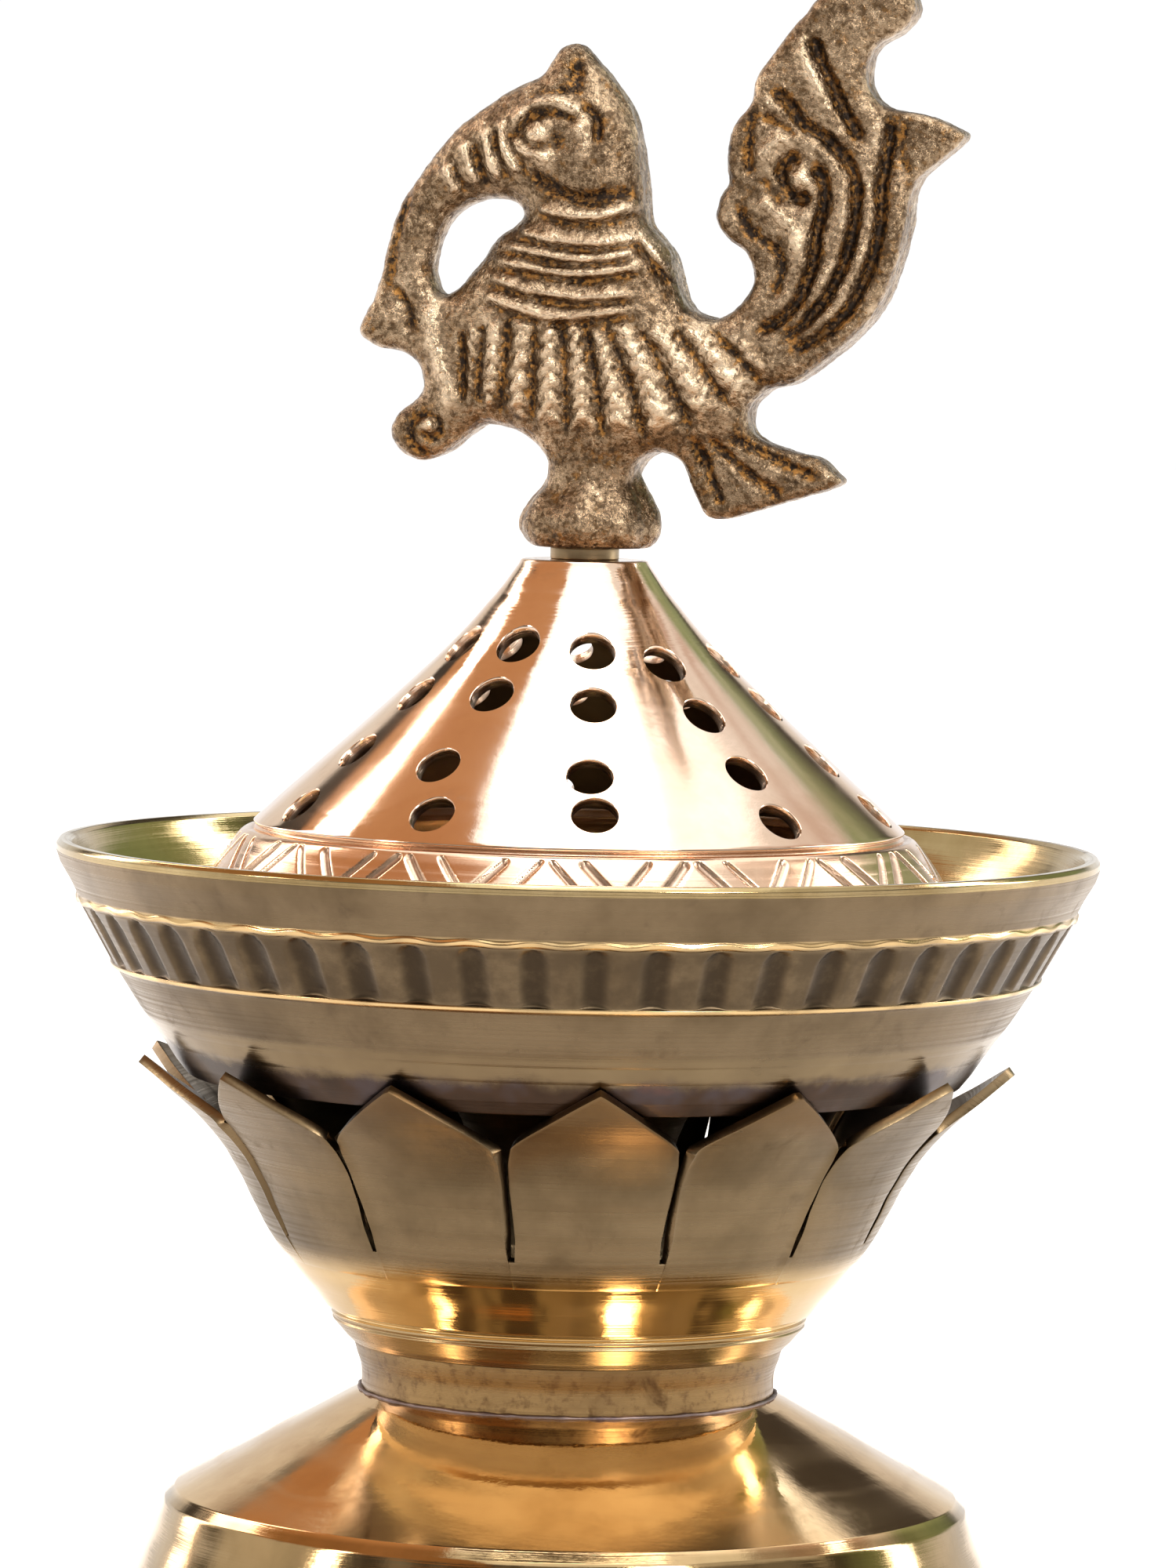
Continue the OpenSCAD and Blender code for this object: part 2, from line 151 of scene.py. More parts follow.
# ---------------------------------------------------------------- meshes
def add_object(name, verts, faces, body, replaces=(), material=None, smooth=True):
    mesh = bpy.data.meshes.new(name)
    mesh.from_pydata([tuple(v) for v in np.asarray(verts) * MM], [], faces)
    mesh.validate()
    mesh.update()
    if smooth:
        mesh.polygons.foreach_set("use_smooth", [True] * len(mesh.polygons))
    obj = bpy.data.objects.new(name, mesh)
    SCENE.collection.objects.link(obj)
    if material:
        mesh.materials.append(material)
    if body:
        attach(obj, body)
    if replaces:
        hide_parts(*replaces)
    return obj


def ring_faces(rows, columns, closed=True, base=0):
    """Quads of a grid that closes round its columns, and over its rows if closed."""
    i = np.arange(rows if closed else rows - 1)[:, None]
    j = np.arange(columns)[None, :]
    a = base + i * columns + j
    b = base + i * columns + (j + 1) % columns
    up = (i + 1) % rows
    c = base + up * columns + (j + 1) % columns
    d = base + up * columns + j
    return np.stack([a, b, c, d], -1).reshape(-1, 4).tolist()


def lathe_verts(profile, segments, shape=None):
    p = np.asarray(profile)
    th = np.arange(segments) * 2 * math.pi / segments
    r = np.repeat(p[:, 0:1], segments, 1)
    z = np.repeat(p[:, 1:2], segments, 1)
    t = np.repeat(th[None, :], len(p), 0)
    if shape:
        r, z, t = shape(r, z, t)
    return np.stack([r * np.cos(t), r * np.sin(t), z], -1).reshape(-1, 3)


def lathe(name, profile, segments, body, replaces=(), material=None, shape=None):
    """A closed turned solid from a closed outline (anticlockwise in r, z)."""
    verts = lathe_verts(profile, segments, shape)
    faces = ring_faces(len(profile), segments)
    return add_object(name, verts, faces, body, replaces, material)


def face_outwards(obj):
    """Makes a closed mesh's normals point out."""
    bm = bmesh.new()
    bm.from_mesh(obj.data)
    bmesh.ops.recalc_face_normals(bm, faces=bm.faces)
    if bm.calc_volume(signed=True) < 0:
        bmesh.ops.reverse_faces(bm, faces=bm.faces)
    bm.to_mesh(obj.data)
    bm.free()
    obj.data.update()


def apply_modifiers(obj):
    deps = bpy.context.evaluated_depsgraph_get()
    mesh = bpy.data.meshes.new_from_object(obj.evaluated_get(deps))
    obj.modifiers.clear()
    old = obj.data
    obj.data = mesh
    bpy.data.meshes.remove(old)


# ---------------------------------------------------------------- materials
class Nodes:
    """Short names for building a node material."""

    def __init__(self, name):
        self.material = bpy.data.materials.new(name)
        self.material.use_nodes = True
        self.tree = self.material.node_tree
        self.bsdf = next(n for n in self.tree.nodes if n.type == "BSDF_PRINCIPLED")
        self.coords = self.tree.nodes.new("ShaderNodeTexCoord").outputs["Object"]

    def put(self, value, socket):
        if hasattr(value, "is_output"):
            self.tree.links.new(value, socket)
        else:
            socket.default_value = value

    def math(self, op, a, b=0.0, c=0.0, clamp=False):
        n = self.tree.nodes.new("ShaderNodeMath")
        n.operation, n.use_clamp = op, clamp
        for v, s in zip((a, b, c), n.inputs):
            self.put(v, s)
        return n.outputs[0]

    def times(self, a, b, **kw):
        return self.math("MULTIPLY", a, b, **kw)

    def plus(self, a, b, **kw):
        return self.math("ADD", a, b, **kw)

    def minus(self, a, b, **kw):
        return self.math("SUBTRACT", a, b, **kw)

    def xyz(self):
        n = self.tree.nodes.new("ShaderNodeSeparateXYZ")
        self.put(self.coords, n.inputs[0])
        return n.outputs

    def noise(self, scale, detail=3.0, rough=0.5, vector=None, w=None, distortion=0.0):
        n = self.tree.nodes.new("ShaderNodeTexNoise")
        if w is not None:
            n.noise_dimensions = "1D"
            self.put(w, n.inputs["W"])
        else:
            self.put(self.coords if vector is None else vector, n.inputs["Vector"])
        n.inputs["Scale"].default_value = scale
        n.inputs["Detail"].default_value = detail
        n.inputs["Roughness"].default_value = rough
        n.inputs["Distortion"].default_value = distortion
        return n.outputs[0]

    def voronoi(self, scale, feature="F1", vector=None):
        n = self.tree.nodes.new("ShaderNodeTexVoronoi")
        n.feature = feature
        self.put(self.coords if vector is None else vector, n.inputs["Vector"])
        n.inputs["Scale"].default_value = scale
        return n.outputs["Distance"]

    def scaled(self, x, y, z):
        n = self.tree.nodes.new("ShaderNodeMapping")
        self.put(self.coords, n.inputs["Vector"])
        n.inputs["Scale"].default_value = (x, y, z)
        return n.outputs[0]

    def ramp(self, factor, stops):
        n = self.tree.nodes.new("ShaderNodeValToRGB")
        self.put(factor, n.inputs[0])
        while len(n.color_ramp.elements) < len(stops):
            n.color_ramp.elements.new(0.5)
        for e, (at, value) in zip(n.color_ramp.elements, stops):
            e.position = at
            e.color = (*value, 1) if isinstance(value, tuple) else (value, value, value, 1)
        return n.outputs[0]

    def span(self, value, low, high, to_low=0.0, to_high=1.0):
        n = self.tree.nodes.new("ShaderNodeMapRange")
        n.interpolation_type = "SMOOTHSTEP"
        for v, s in zip((value, low, high, to_low, to_high), n.inputs):
            self.put(v, s)
        return n.outputs[0]

    def mix(self, factor, a, b, blend="MIX"):
        n = self.tree.nodes.new("ShaderNodeMix")
        n.data_type, n.blend_type = "RGBA", blend
        self.put(factor, n.inputs["Factor"])
        for v, s in ((a, n.inputs[6]), (b, n.inputs[7])):
            self.put((*v, 1) if isinstance(v, tuple) and len(v) == 3 else v, s)
        return n.outputs[2]

    def bump(self, height, strength, distance, onto=None):
        n = self.tree.nodes.new("ShaderNodeBump")
        n.inputs["Strength"].default_value = strength
        n.inputs["Distance"].default_value = distance
        self.put(height, n.inputs["Height"])
        if onto is not None:
            self.put(onto, n.inputs["Normal"])
        return n.outputs[0]

    def attribute(self, name):
        n = self.tree.nodes.new("ShaderNodeAttribute")
        n.attribute_name = name
        return n.outputs["Fac"]

    def along(self, slope=0.7):
        """A coordinate that runs up the turned profile, for marks that go round the axis."""
        x, y, z = self.xyz()
        r = self.math("SQRT", self.plus(self.times(x, x),
                                        self.times(y, y)))
        return self.math("MULTIPLY_ADD", r, slope, z)


def turned_brass(name, light, dark, rough, marks=0.3, marks_scale=2600, slope=0.7, stain=0.25,
                 stain_color=(0.2, 0.13, 0.08), soft=0.0, waves=0.10):
    """Brass turned on a lathe: fine marks round the axis, handling stains, uneven polish."""
    m = Nodes(name)
    w = m.plus(m.along(slope), m.times(m.noise(60, 2), 0.0004))
    fine = m.noise(marks_scale, 4, 0.65, w=w)
    broad = m.noise(marks_scale / 9, 3, 0.6, w=w)
    cloud = m.noise(55, 5, 0.6)
    patch = m.noise(190, 4, 0.65, distortion=0.4)
    color = m.mix(m.span(cloud, 0.35, 0.68), light, dark)
    color = m.mix(m.times(m.span(broad, 0.5, 0.75), 0.2), color, dark)
    spots = m.times(m.span(patch, 0.56, 0.74), stain)
    m.color = m.mix(spots, color, stain_color)
    r = m.plus(m.times(m.span(fine, 0.3, 0.75), 0.10 + soft), rough)
    r = m.plus(r, m.times(spots, 0.5))
    m.rough = m.plus(r, m.times(m.span(cloud, 0.4, 0.7), 0.06), clamp=True)
    normal = m.bump(m.plus(m.times(fine, 0.5), broad), marks, 0.00012)
    m.normal = m.bump(m.noise(320, 4, 0.6), waves, 0.0002, normal)
    m.bsdf.inputs["Metallic"].default_value = 1
    m.bsdf.inputs["Anisotropic"].default_value = 0.3
    return m


def tinted(m, mask, color, rough=None):
    """Lays a colour over a brass where the mask is, with its own roughness if given."""
    m.color = m.mix(mask, m.color, color)
    if rough is not None:
        keep = m.minus(1.0, mask)
        m.rough = m.plus(m.times(m.rough, keep), m.times(mask, rough))


def finished(m):
    m.put(m.color, m.bsdf.inputs["Base Color"])
    m.put(m.rough, m.bsdf.inputs["Roughness"])
    m.put(m.normal, m.bsdf.inputs["Normal"])
    return m.material


def bowl_brass():
    """Satin brass with painted shade in the flute recesses, darker over the whole fluted band, a
    painted highlight on the beads, and burnt where the petals are brazed on.
    """
    m = turned_brass("bowl_brass_satin", (0.215, 0.155, 0.09), (0.135, 0.095, 0.053), 0.24, marks=0.25,
                     marks_scale=2000, stain=0.3, soft=0.06, stain_color=(0.10, 0.07, 0.045))
    x, y, z = m.xyz()
    shade_noise = m.noise(420, 4, 0.65)
    recess = m.attribute("recess")
    # the whole fluted band is tinted darker
    band = m.times(m.span(z, 0.0976, 0.0986), m.span(z, 0.1042, 0.1050, 1, 0))
    tinted(m, m.times(band, m.span(m.noise(260, 4, 0.6), 0.3, 0.62, 0.25, 0.8)),
           (0.085, 0.06, 0.036), 0.3)
    # painted shade: the flute recesses are tinted near black, unevenly
    dark = m.times(m.span(recess, 0.1, 1.0), m.span(shade_noise, 0.25, 0.6, 0.50, 0.92))
    tinted(m, dark, m.mix(shade_noise, (0.014, 0.010, 0.007), (0.075, 0.052, 0.032)), 0.4)
    # painted highlight: the beads above and below the flutes are tinted bright gold and made smoother
    edge = m.plus(m.span(m.math("ABSOLUTE", m.minus(z, 0.10535)), 0.00015, 0.0006, 1, 0),
                  m.span(m.math("ABSOLUTE", m.minus(z, 0.09775)), 0.0001, 0.0004, 1, 0))
    painted_bead_highlight = m.times(m.times(edge, 0.9), m.span(m.noise(160, 3), 0.3, 0.55, 0.55, 1))
    tinted(m, painted_bead_highlight, (0.80, 0.56, 0.27), 0.16)
    # the foot of the bowl is smoother, and mirrors the petals
    foot = m.times(m.span(z, 0.0918, 0.0926, 0.85, 0.0), m.span(m.noise(120, 3), 0.25, 0.6, 0.6, 1))
    tinted(m, foot, m.mix(m.noise(200, 3), (0.30, 0.22, 0.12), (0.19, 0.135, 0.075)), 0.15)
    burn = m.plus(z, m.times(m.minus(m.noise(150, 4, 0.6), 0.5), 0.004))
    burnt = m.span(burn, 0.0882, 0.0902, 0.94, 0.0)
    tinted(m, burnt, m.ramp(m.noise(95, 3, 0.6), [
        (0.3, (0.028, 0.02, 0.017)), (0.5, (0.06, 0.036, 0.026)),
        (0.62, (0.075, 0.058, 0.062)), (0.76, (0.18, 0.09, 0.07))]), 0.3)
    return finished(m)


def base_brass():
    """Mirror turned brass on the shoulder, a duller and browner skirt below it."""
    m = turned_brass("polished_brass_turned", (0.80, 0.57, 0.32), (0.64, 0.42, 0.21), 0.04,
                     marks=0.25, marks_scale=2400, slope=0.5, stain=0.10)
    x, y, z = m.xyz()
    dull = m.times(m.span(z, 0.0366, 0.0374, 1, 0), m.span(m.noise(70, 4, 0.6), 0.3, 0.6, 0.7, 1.0))
    tinted(m, dull, m.mix(m.noise(160, 4, 0.6), (0.46, 0.32, 0.16), (0.30, 0.20, 0.09)), 0.09)
    return finished(m)


def lotus_brass():
    """Satin petals with burnt edges above a band that is polished like gold, with painted shade on the
    inside of the cup.
    """
    m = turned_brass("lotus_brass_satin", (0.225, 0.16, 0.088), (0.14, 0.10, 0.054), 0.25, marks=0.22,
                     marks_scale=1800, stain=0.3, soft=0.05, stain_color=(0.10, 0.07, 0.04))
    x, y, z = m.xyz()
    uneven = m.times(m.minus(m.noise(240, 3, 0.6), 0.5), 0.0006)
    band = m.times(m.span(m.plus(z, uneven), 0.0636, 0.0676, 1, 0),
                  m.span(z, 0.0578, 0.0584, 0.35, 1.0))
    tinted(m, band, m.mix(m.noise(130, 4, 0.6), (0.80, 0.59, 0.31), (0.62, 0.42, 0.19)), 0.07)
    heat = m.attribute("heat")
    burnt = m.times(m.span(heat, 0.1, 0.7), m.span(m.noise(210, 4, 0.65), 0.22, 0.6, 0.62, 1.0))
    tinted(m, burnt, m.ramp(m.noise(120, 3, 0.6), [
        (0.32, (0.022, 0.018, 0.018)), (0.5, (0.05, 0.035, 0.03)),
        (0.62, (0.066, 0.056, 0.064)), (0.78, (0.20, 0.11, 0.09))]), 0.34)
    # painted shade: the inner faces of the ring and the petals are tinted dark brown
    inner = m.attribute("inner")
    tinted(m, m.times(inner, 0.75), m.mix(m.noise(90, 4), (0.05, 0.032, 0.02), (0.26, 0.15, 0.06)), 0.3)
    return finished(m)


def lid_brass():
    """Mirror turned, faintly pink brass, browned by smoke on the inside."""
    m = turned_brass("copper_brass_turned", (0.92, 0.72, 0.57), (0.80, 0.57, 0.41), 0.045,
                     marks=0.5, marks_scale=2200, slope=0.9, stain=0.10, waves=0.06)
    smoke = m.mix(m.noise(260, 4, 0.6), (0.03, 0.02, 0.014), (0.14, 0.085, 0.045))
    tinted(m, m.times(m.attribute("soot"), 0.9), smoke, 0.42)
    return finished(m)


def shoulder_brass():
    """The lid's turned brass, with dull grooves where it is engraved."""
    m = turned_brass("copper_brass_engraved", (0.86, 0.63, 0.47), (0.72, 0.48, 0.32), 0.12, marks=0.4,
                     marks_scale=2200, slope=0.5, stain=0.12)
    cut = m.attribute("groove")
    rough_cut = m.noise(900, 4, 0.7)
    tinted(m, m.span(cut, 0.15, 0.8, 0, 0.85),
           m.mix(rough_cut, (0.16, 0.10, 0.07), (0.52, 0.38, 0.28)), 0.4)
    tinted(m, m.span(m.noise(300, 4, 0.6), 0.5, 0.7, 0, 0.25), (0.45, 0.28, 0.18), 0.3)
    return finished(m)


def neck_brass():
    """Mottled brown where the brazing heat has coloured the neck."""
    m = turned_brass("neck_brass_mottled", (0.29, 0.185, 0.08), (0.175, 0.11, 0.05), 0.22, marks=0.25,
                     marks_scale=2200, stain=0.75, soft=0.05, stain_color=(0.11, 0.06, 0.028))
    freckle = m.span(m.noise(650, 4, 0.7), 0.5, 0.68, 0, 0.7)
    tinted(m, freckle, (0.12, 0.066, 0.03))
    return finished(m)


def paint(obj, name, value):
    """Stores a number from 0 to 1 at each point of a piece, worked out from its place in mm."""
    mesh = obj.data
    co = np.empty(len(mesh.vertices) * 3)
    mesh.vertices.foreach_get("co", co)
    layer = mesh.attributes.new(name, "FLOAT", "POINT")
    layer.data.foreach_set("value", np.clip(value(co.reshape(-1, 3) / MM), 0, 1))


# ---------------------------------------------------------------- stand
def build_base(material):
    shoulder = [(23.8, 49.0), (25.6, 48.1), (32, 44.55), (38.5, 40.95), (45.1, 37.3), (46.3, 36.1)]
    skirt = curve([(46.45, 35.8), (47.0, 34.3), (47.8, 32), (48.6, 30), (49.9, 26.5), (51.4, 22),
                   (52.6, 17.6), (53.0, 14)], 4)
    cove = bezier((51.6, 13), (51.6, 9), (54, 6.2), (56.9, 5.3), 10)
    outside = shoulder + skirt + cove + [(57.5, 4.7), (57.5, 0.5), (57.0, 0.0), (53.5, 0.0)]
    inside = [(53.5, 3), (49.5, 12)] + [(r - 2.2, z) for r, z in reversed(skirt)]
    inside += [(22, 46.6), (3.2, 46.6), (3.2, 49.0)]
    profile = spaced(rounded((outside + inside)[::-1], 0.35), 1.2)
    return lathe("base_turned", profile, 256, "stand", ["base_shell"], material)


def build_neck(material, seam_material):
    outside = curve([(23.8, 49), (23.8, 50.2), (23.9, 51.7), (24.4, 53.2), (24.8, 54.6)], 3)
    profile = spaced(rounded(outside + [(17, 54.6), (17, 49)], 0.12), 0.6)
    neck = lathe("neck_turned", profile, 192, "stand", ["neck_collar"], material)

    # the braze runs round the foot of the neck in an uneven bead
    m, n = 14, 256
    verts = []
    for i in range(m):
        a = 2 * math.pi * i / m
        for j in range(n):
            t = 2 * math.pi * j / n
            q = Vector((math.cos(t) * 6, math.sin(t) * 6, 0))
            fat = 0.30 + 0.16 * noise.noise(q * 2.2) + 0.09 * noise.noise(q * 7 + Vector((3, 1, 5)))
            r = 23.95 + fat * math.cos(a) + 0.14 * noise.noise(q * 3 + Vector((0, 0, 9)))
            z = 49.0 + 0.8 * fat * math.sin(a) + 0.1 * noise.noise(q * 1.3 + Vector((7, 0, 0)))
            verts.append((r * math.cos(t), r * math.sin(t), z))
    faces = ring_faces(m, n)
    seam = add_object("braze_bead", np.array(verts), faces, "stand", ["braze_seam"],
                      seam_material)
    face_outwards(seam)
    return neck


def build_pedestal(material):
    outline = [(3.2, 61), (15, 61), (15, 62.6)]
    outline += bezier((14, 63.2), (10, 66), (10, 78.4), (15, 83.2), 12)
    outline += [(16, 83.8), (16, 85.4), (3.2, 85.4)]
    profile = spaced(rounded(outline, 0.3), 1.2)
    return lathe("pedestal_turned", profile, 128, "stand", ["bowl_pedestal"], material)


CUP = np.array([(27.9, 58.6), (28.4, 58.9), (29.8, 60.7), (31.4, 62.5), (32.8, 64.3), (34.1, 66.1),
                (35.2, 67.9), (36.1, 69.7), (37.0, 71.5), (37.8, 73.3), (38.8, 75.1), (39.8, 76.9),
                (41.1, 78.7), (42.6, 80.5), (44.3, 82.3), (46.2, 84.1), (48.0, 85.9), (49.6, 87.4)])
SLOT_LOW, NOTCH, TIP = 64.9, 80.8, 87.5


def cup_point(z):
    return np.interp(z, CUP[:, 1], CUP[:, 0])


def build_cup(material):
    """The lotus cup: a turned ring foot, and petals cut apart above it."""
    wall = 1.1
    low = [(17, 54.6), (24.95, 54.6), (25.15, 54.8), (25.7, 55.3), (27.0, 56.8), (27.35, 57.15),
           (27.15, 57.45), (27.45, 57.75), (27.5, 58.0), (27.2, 58.3), (27.7, 58.6)]
    side = curve(CUP[1:7], 3)
    inner = [(r - wall - 0.2, z + 0.4) for r, z in side[::-1] if z > 60.8]
    profile = low + side + inner + [(28.0, 61.0), (3.2, 61.0), (3.2, 58.6), (17, 58.6)]
    ring = lathe("lotus_ring", spaced(rounded(profile, 0.15), 1.0), 288, "stand", ["lotus_cup"],
                 material)
    paint(ring, "heat", lambda p: 0 * p[:, 0])
    # inner faces, which take the painted shade
    paint(ring, "inner", lambda p: 1.0 * (np.hypot(p[:, 0], p[:, 1]) < cup_point(p[:, 2]) - 0.8)
          * (p[:, 2] > 60))

    # each petal has its own bend, lean and curled edge
    rows, cols = 44, 41
    half = math.pi / PETALS
    meridian = np.array(curve(CUP, 6))
    steps = np.r_[0, np.cumsum(np.linalg.norm(np.diff(meridian, axis=0), axis=1))]
    s_of_z = lambda z: np.interp(z, meridian[:, 1], steps)
    s_low, s_slot, s_notch, s_tip = (s_of_z(z) for z in (64.6, SLOT_LOW, NOTCH, TIP))
    turned_out = (1.4, 0.6, 0.2, 0.9, 0.4, 1.3, 2.9, 1.2, 0.3, -0.8, -1.6, -0.9, 0.3)
    verts, faces = [], []
    for k in range(PETALS):
        middle = math.radians(PETAL_TURN + 360 / PETALS * k)
        rng = np.random.default_rng(40 + k)
        bend = turned_out[k]
        lean, twist = rng.uniform(-0.6, 0.6), rng.uniform(-0.5, 0.5)
        tip_shift = rng.uniform(-0.8, 0.8)
        base = len(verts)
        u = np.linspace(-1, 1, cols)
        u = np.sign(u) * (1 - (1 - np.abs(u)) ** 1.15)
        points = np.zeros((rows, cols, 3))
        for i in range(rows):
            v = i / (rows - 1)
            peak = np.clip(1 - np.abs(u - 0.06 * tip_shift), 0, 1)
            top = s_notch + (s_tip + 0.35 * tip_shift - s_notch) * peak
            s = s_low + (top - s_low) * v
            r = np.interp(s, steps, meridian[:, 0])
            z = np.interp(s, steps, meridian[:, 1])
            # half width of the slot grows from its point and is even above
            grow = np.clip((s - s_slot) / (s_notch - s_slot), 0, 1)
            gap = np.interp(grow, [0, 0.12, 0.35, 0.72, 0.9, 1], [0.02, 0.24, 0.6, 0.28, 0.4, 0.78])
            th = middle + u * half - np.sign(u) * np.abs(u) ** 14 * gap / r
            f = np.clip((s - s_slot) / (s_tip - s_slot), 0, 1)
            out = bend * f ** 2.4 + twist * u * f ** 2 + 0.55 * (1 - u * u) * f * (1 - f) * 1.6
            curl = np.clip((np.abs(u) - 0.8) / 0.2, 0, 1)
            out = out + 0.35 * curl ** 2 * np.clip(f * 3, 0, 1) * (1 if k % 2 else -0.4)
            th = th + lean * f ** 2 / r
            # the outline leans outwards, so moving out also lowers a little
            points[i] = np.stack([(r + out * 0.86) * np.cos(th), (r + out * 0.86) * np.sin(th),
                                  z - out * 0.42 * f], -1)
        verts.extend(points.reshape(-1, 3))
        for i in range(rows - 1):
            for j in range(cols - 1):
                a = base + i * cols + j
                faces.append((a, a + 1, a + cols + 1, a + cols))
    petals = add_object("lotus_petals", np.array(verts), faces, "stand", [], material)
    solid = petals.modifiers.new("sheet", "SOLIDIFY")
    solid.thickness, solid.offset = wall * MM, -1
    solid.use_even_offset = True
    edge = petals.modifiers.new("edge", "BEVEL")
    edge.width, edge.segments = 0.15 * MM, 2
    edge.limit_method, edge.angle_limit = "ANGLE", math.radians(50)
    apply_modifiers(petals)

    def heat(p):
        turn = np.degrees(np.arctan2(p[:, 1], p[:, 0])) - PETAL_TURN
        u = np.abs((turn / 360 * PETALS + 0.5) % 1 - 0.5) * 2
        top = NOTCH + (TIP - NOTCH) * (1 - u)
        edge = np.exp(-(np.clip(top - p[:, 2] - 0.3, 0, 99) / 1.1) ** 2)
        valley = np.exp(-((1 - u) * 9 / 2.2) ** 2 - (np.clip(NOTCH - p[:, 2], 0, 99) / 3.5) ** 2)
        slit = np.exp(-np.clip((1 - u) * 8.5 - 0.35, 0, 99) / 0.22) * (p[:, 2] > SLOT_LOW)
        return edge + 0.9 * valley + 0.9 * slit

    paint(petals, "heat", heat)
    # inner faces, which take the painted shade
    paint(petals, "inner", lambda p: (cup_point(p[:, 2]) - 0.35 - np.hypot(p[:, 0], p[:, 1])) / 0.3)
    return ring, petals


def build_bowl(material, inner_material):
    seat = 45.2
    outside = [(58.75, 112.0), (59.65, 112.0), (60.0, 111.5), (60.0, 110.7)]
    outside += curve([(59.55, 109.4), (58.9, 108.3), (58.3, 107.3), (57.75, 106.2)], 3)
    outside += [(57.5, 105.75), (57.75, 105.35), (57.55, 104.95), (57.2, 104.8)]
    band_top, band_low = np.array((57.2, 104.7)), np.array((53.5, 98.1))
    band = [tuple(band_top + (band_low - band_top) * k / 16) for k in range(17)]
    below = [(53.65, 97.95), (53.55, 97.6), (53.0, 97.35)]
    below += curve([(52.6, 96.8), (51.2, 94.6), (50.15, 93.0), (49.1, 91.6)], 4)
    below += [(48.95, 91.35), (48.7, 91.1)] + curve([(48.3, 90.5), (47.6, 89.45)], 2)
    below += [(47.35, 89.2), (45.9, 87.0), (44.6, 85.4)]
    inner = curve([(58.2, 111.6), (57.2, 109), (55.2, 105.4), (53.2, 102), (51.6, 99.4),
                   (50.4, 97.05)], 4)
    inner += [(50.3, 97.0), (seat, 97.0)] + curve([(seat - 0.05, 96.5), (seat - 0.4, 93),
                                                   (seat - 0.6, 91.5)], 3)
    inner += bezier((seat - 0.65, 91.2), (seat - 0.9, 88.8), (seat - 1.6, 88.2), (seat - 4.5, 88.2), 6)
    inner += [(6.1, 88.2), (3.2, 85.4)]
    outline = rounded(outside + band + below + [(3.2, 85.4)] + inner[::-1][1:], 0.3, 24)
    profile = spaced(outline, 0.9)
    if np.cross(profile, np.roll(profile, -1, 0)).sum() < 0:
        profile = profile[::-1]

    turn = math.radians(FLUTE_TURN)
    marks = {}
    axis = band_low - band_top
    length = np.linalg.norm(axis)
    out = np.array((axis[1], -axis[0])) / length
    out = out if out[0] > 0 else -out

    def flutes(r, z, t):
        v = ((r - band_top[0]) * axis[0] + (z - band_top[1]) * axis[1]) / length
        off = (r - band_top[0]) * out[0] + (z - band_top[1]) * out[1]
        phase = (t - turn) * FLUTES / (2 * math.pi)
        u = (phase + 0.5) % 1 - 0.5
        index = np.floor(phase + 0.5)
        uneven = np.sin(index * 12.9898) * 0.5 + np.sin(index * 4.1) * 0.3
        half = 0.31 + 0.03 * uneven
        # an arch at the top, straight sides, open at the bottom
        pitch = 6.7
        head = np.clip(1 - v / (half * pitch * 1.1), 0, 1)
        wide = half * np.sqrt(np.clip(1 - head ** 2, 0, 1))
        k = np.clip(1 - np.abs(u) / np.maximum(wide, 1e-3), 0, 1)
        profile_depth = np.sin(k * math.pi / 2) ** 0.8
        ends = np.clip((length + 0.02 - v) / 0.5, 0, 1)
        depth = (0.62 + 0.06 * uneven) * profile_depth * np.sqrt(ends)
        depth = depth * (np.abs(off) < 0.06) * (v > -0.05) * (v < length + 0.1)
        marks["recess"] = np.clip(depth / 0.55, 0, 1).ravel()
        # the bead above the band dips between the recesses
        bead = np.exp(-((r - 57.62) ** 2 + (z - 105.2) ** 2) / 0.30)
        z = z + bead * 0.22 * np.cos(2 * math.pi * u)
        return r - depth * out[0], z - depth * out[1], t

    bowl = lathe("fire_bowl", profile, FLUTES * 20, "stand", ["bowl"], material, flutes)
    layer = bowl.data.attributes.new("recess", "FLOAT", "POINT")
    layer.data.foreach_set("value", marks["recess"])
    face_outwards(bowl)
    polish_inside(bowl, profile, inner_material)
    return bowl


def polish_inside(bowl, profile, material):
    """The inside and the lip of the bowl are mirror polished: they take a second material."""
    mesh = bowl.data
    mesh.materials.append(material)
    centre = np.empty(len(mesh.polygons) * 3)
    mesh.polygons.foreach_get("center", centre)
    centre = centre.reshape(-1, 3) / MM
    r, z = np.hypot(centre[:, 0], centre[:, 1]), centre[:, 2]
    side = np.interp(z, [85, 91, 97.6, 105, 110.7], [44.3, 48.4, 53.3, 57.3, 59.8])
    inside = (r < side - 1.2) & (z > 88) | (z > 110.9)
    mesh.polygons.foreach_set("material_index", inside.astype(np.int32))
    mesh.update()


# ---------------------------------------------------------------- lid
LID_NECK = [(7.35, 144.75), (7.6, 144.3), (8.3, 143.3), (9.5, 141.6), (11, 139.8), (12.5, 138),
            (14.1, 136.2), (15.85, 134.4), (17.7, 132.6), (21.5, 129.0), (25.4, 125.4),
            (29.4, 121.8), (33.6, 118.0), (37.2, 114.65)]


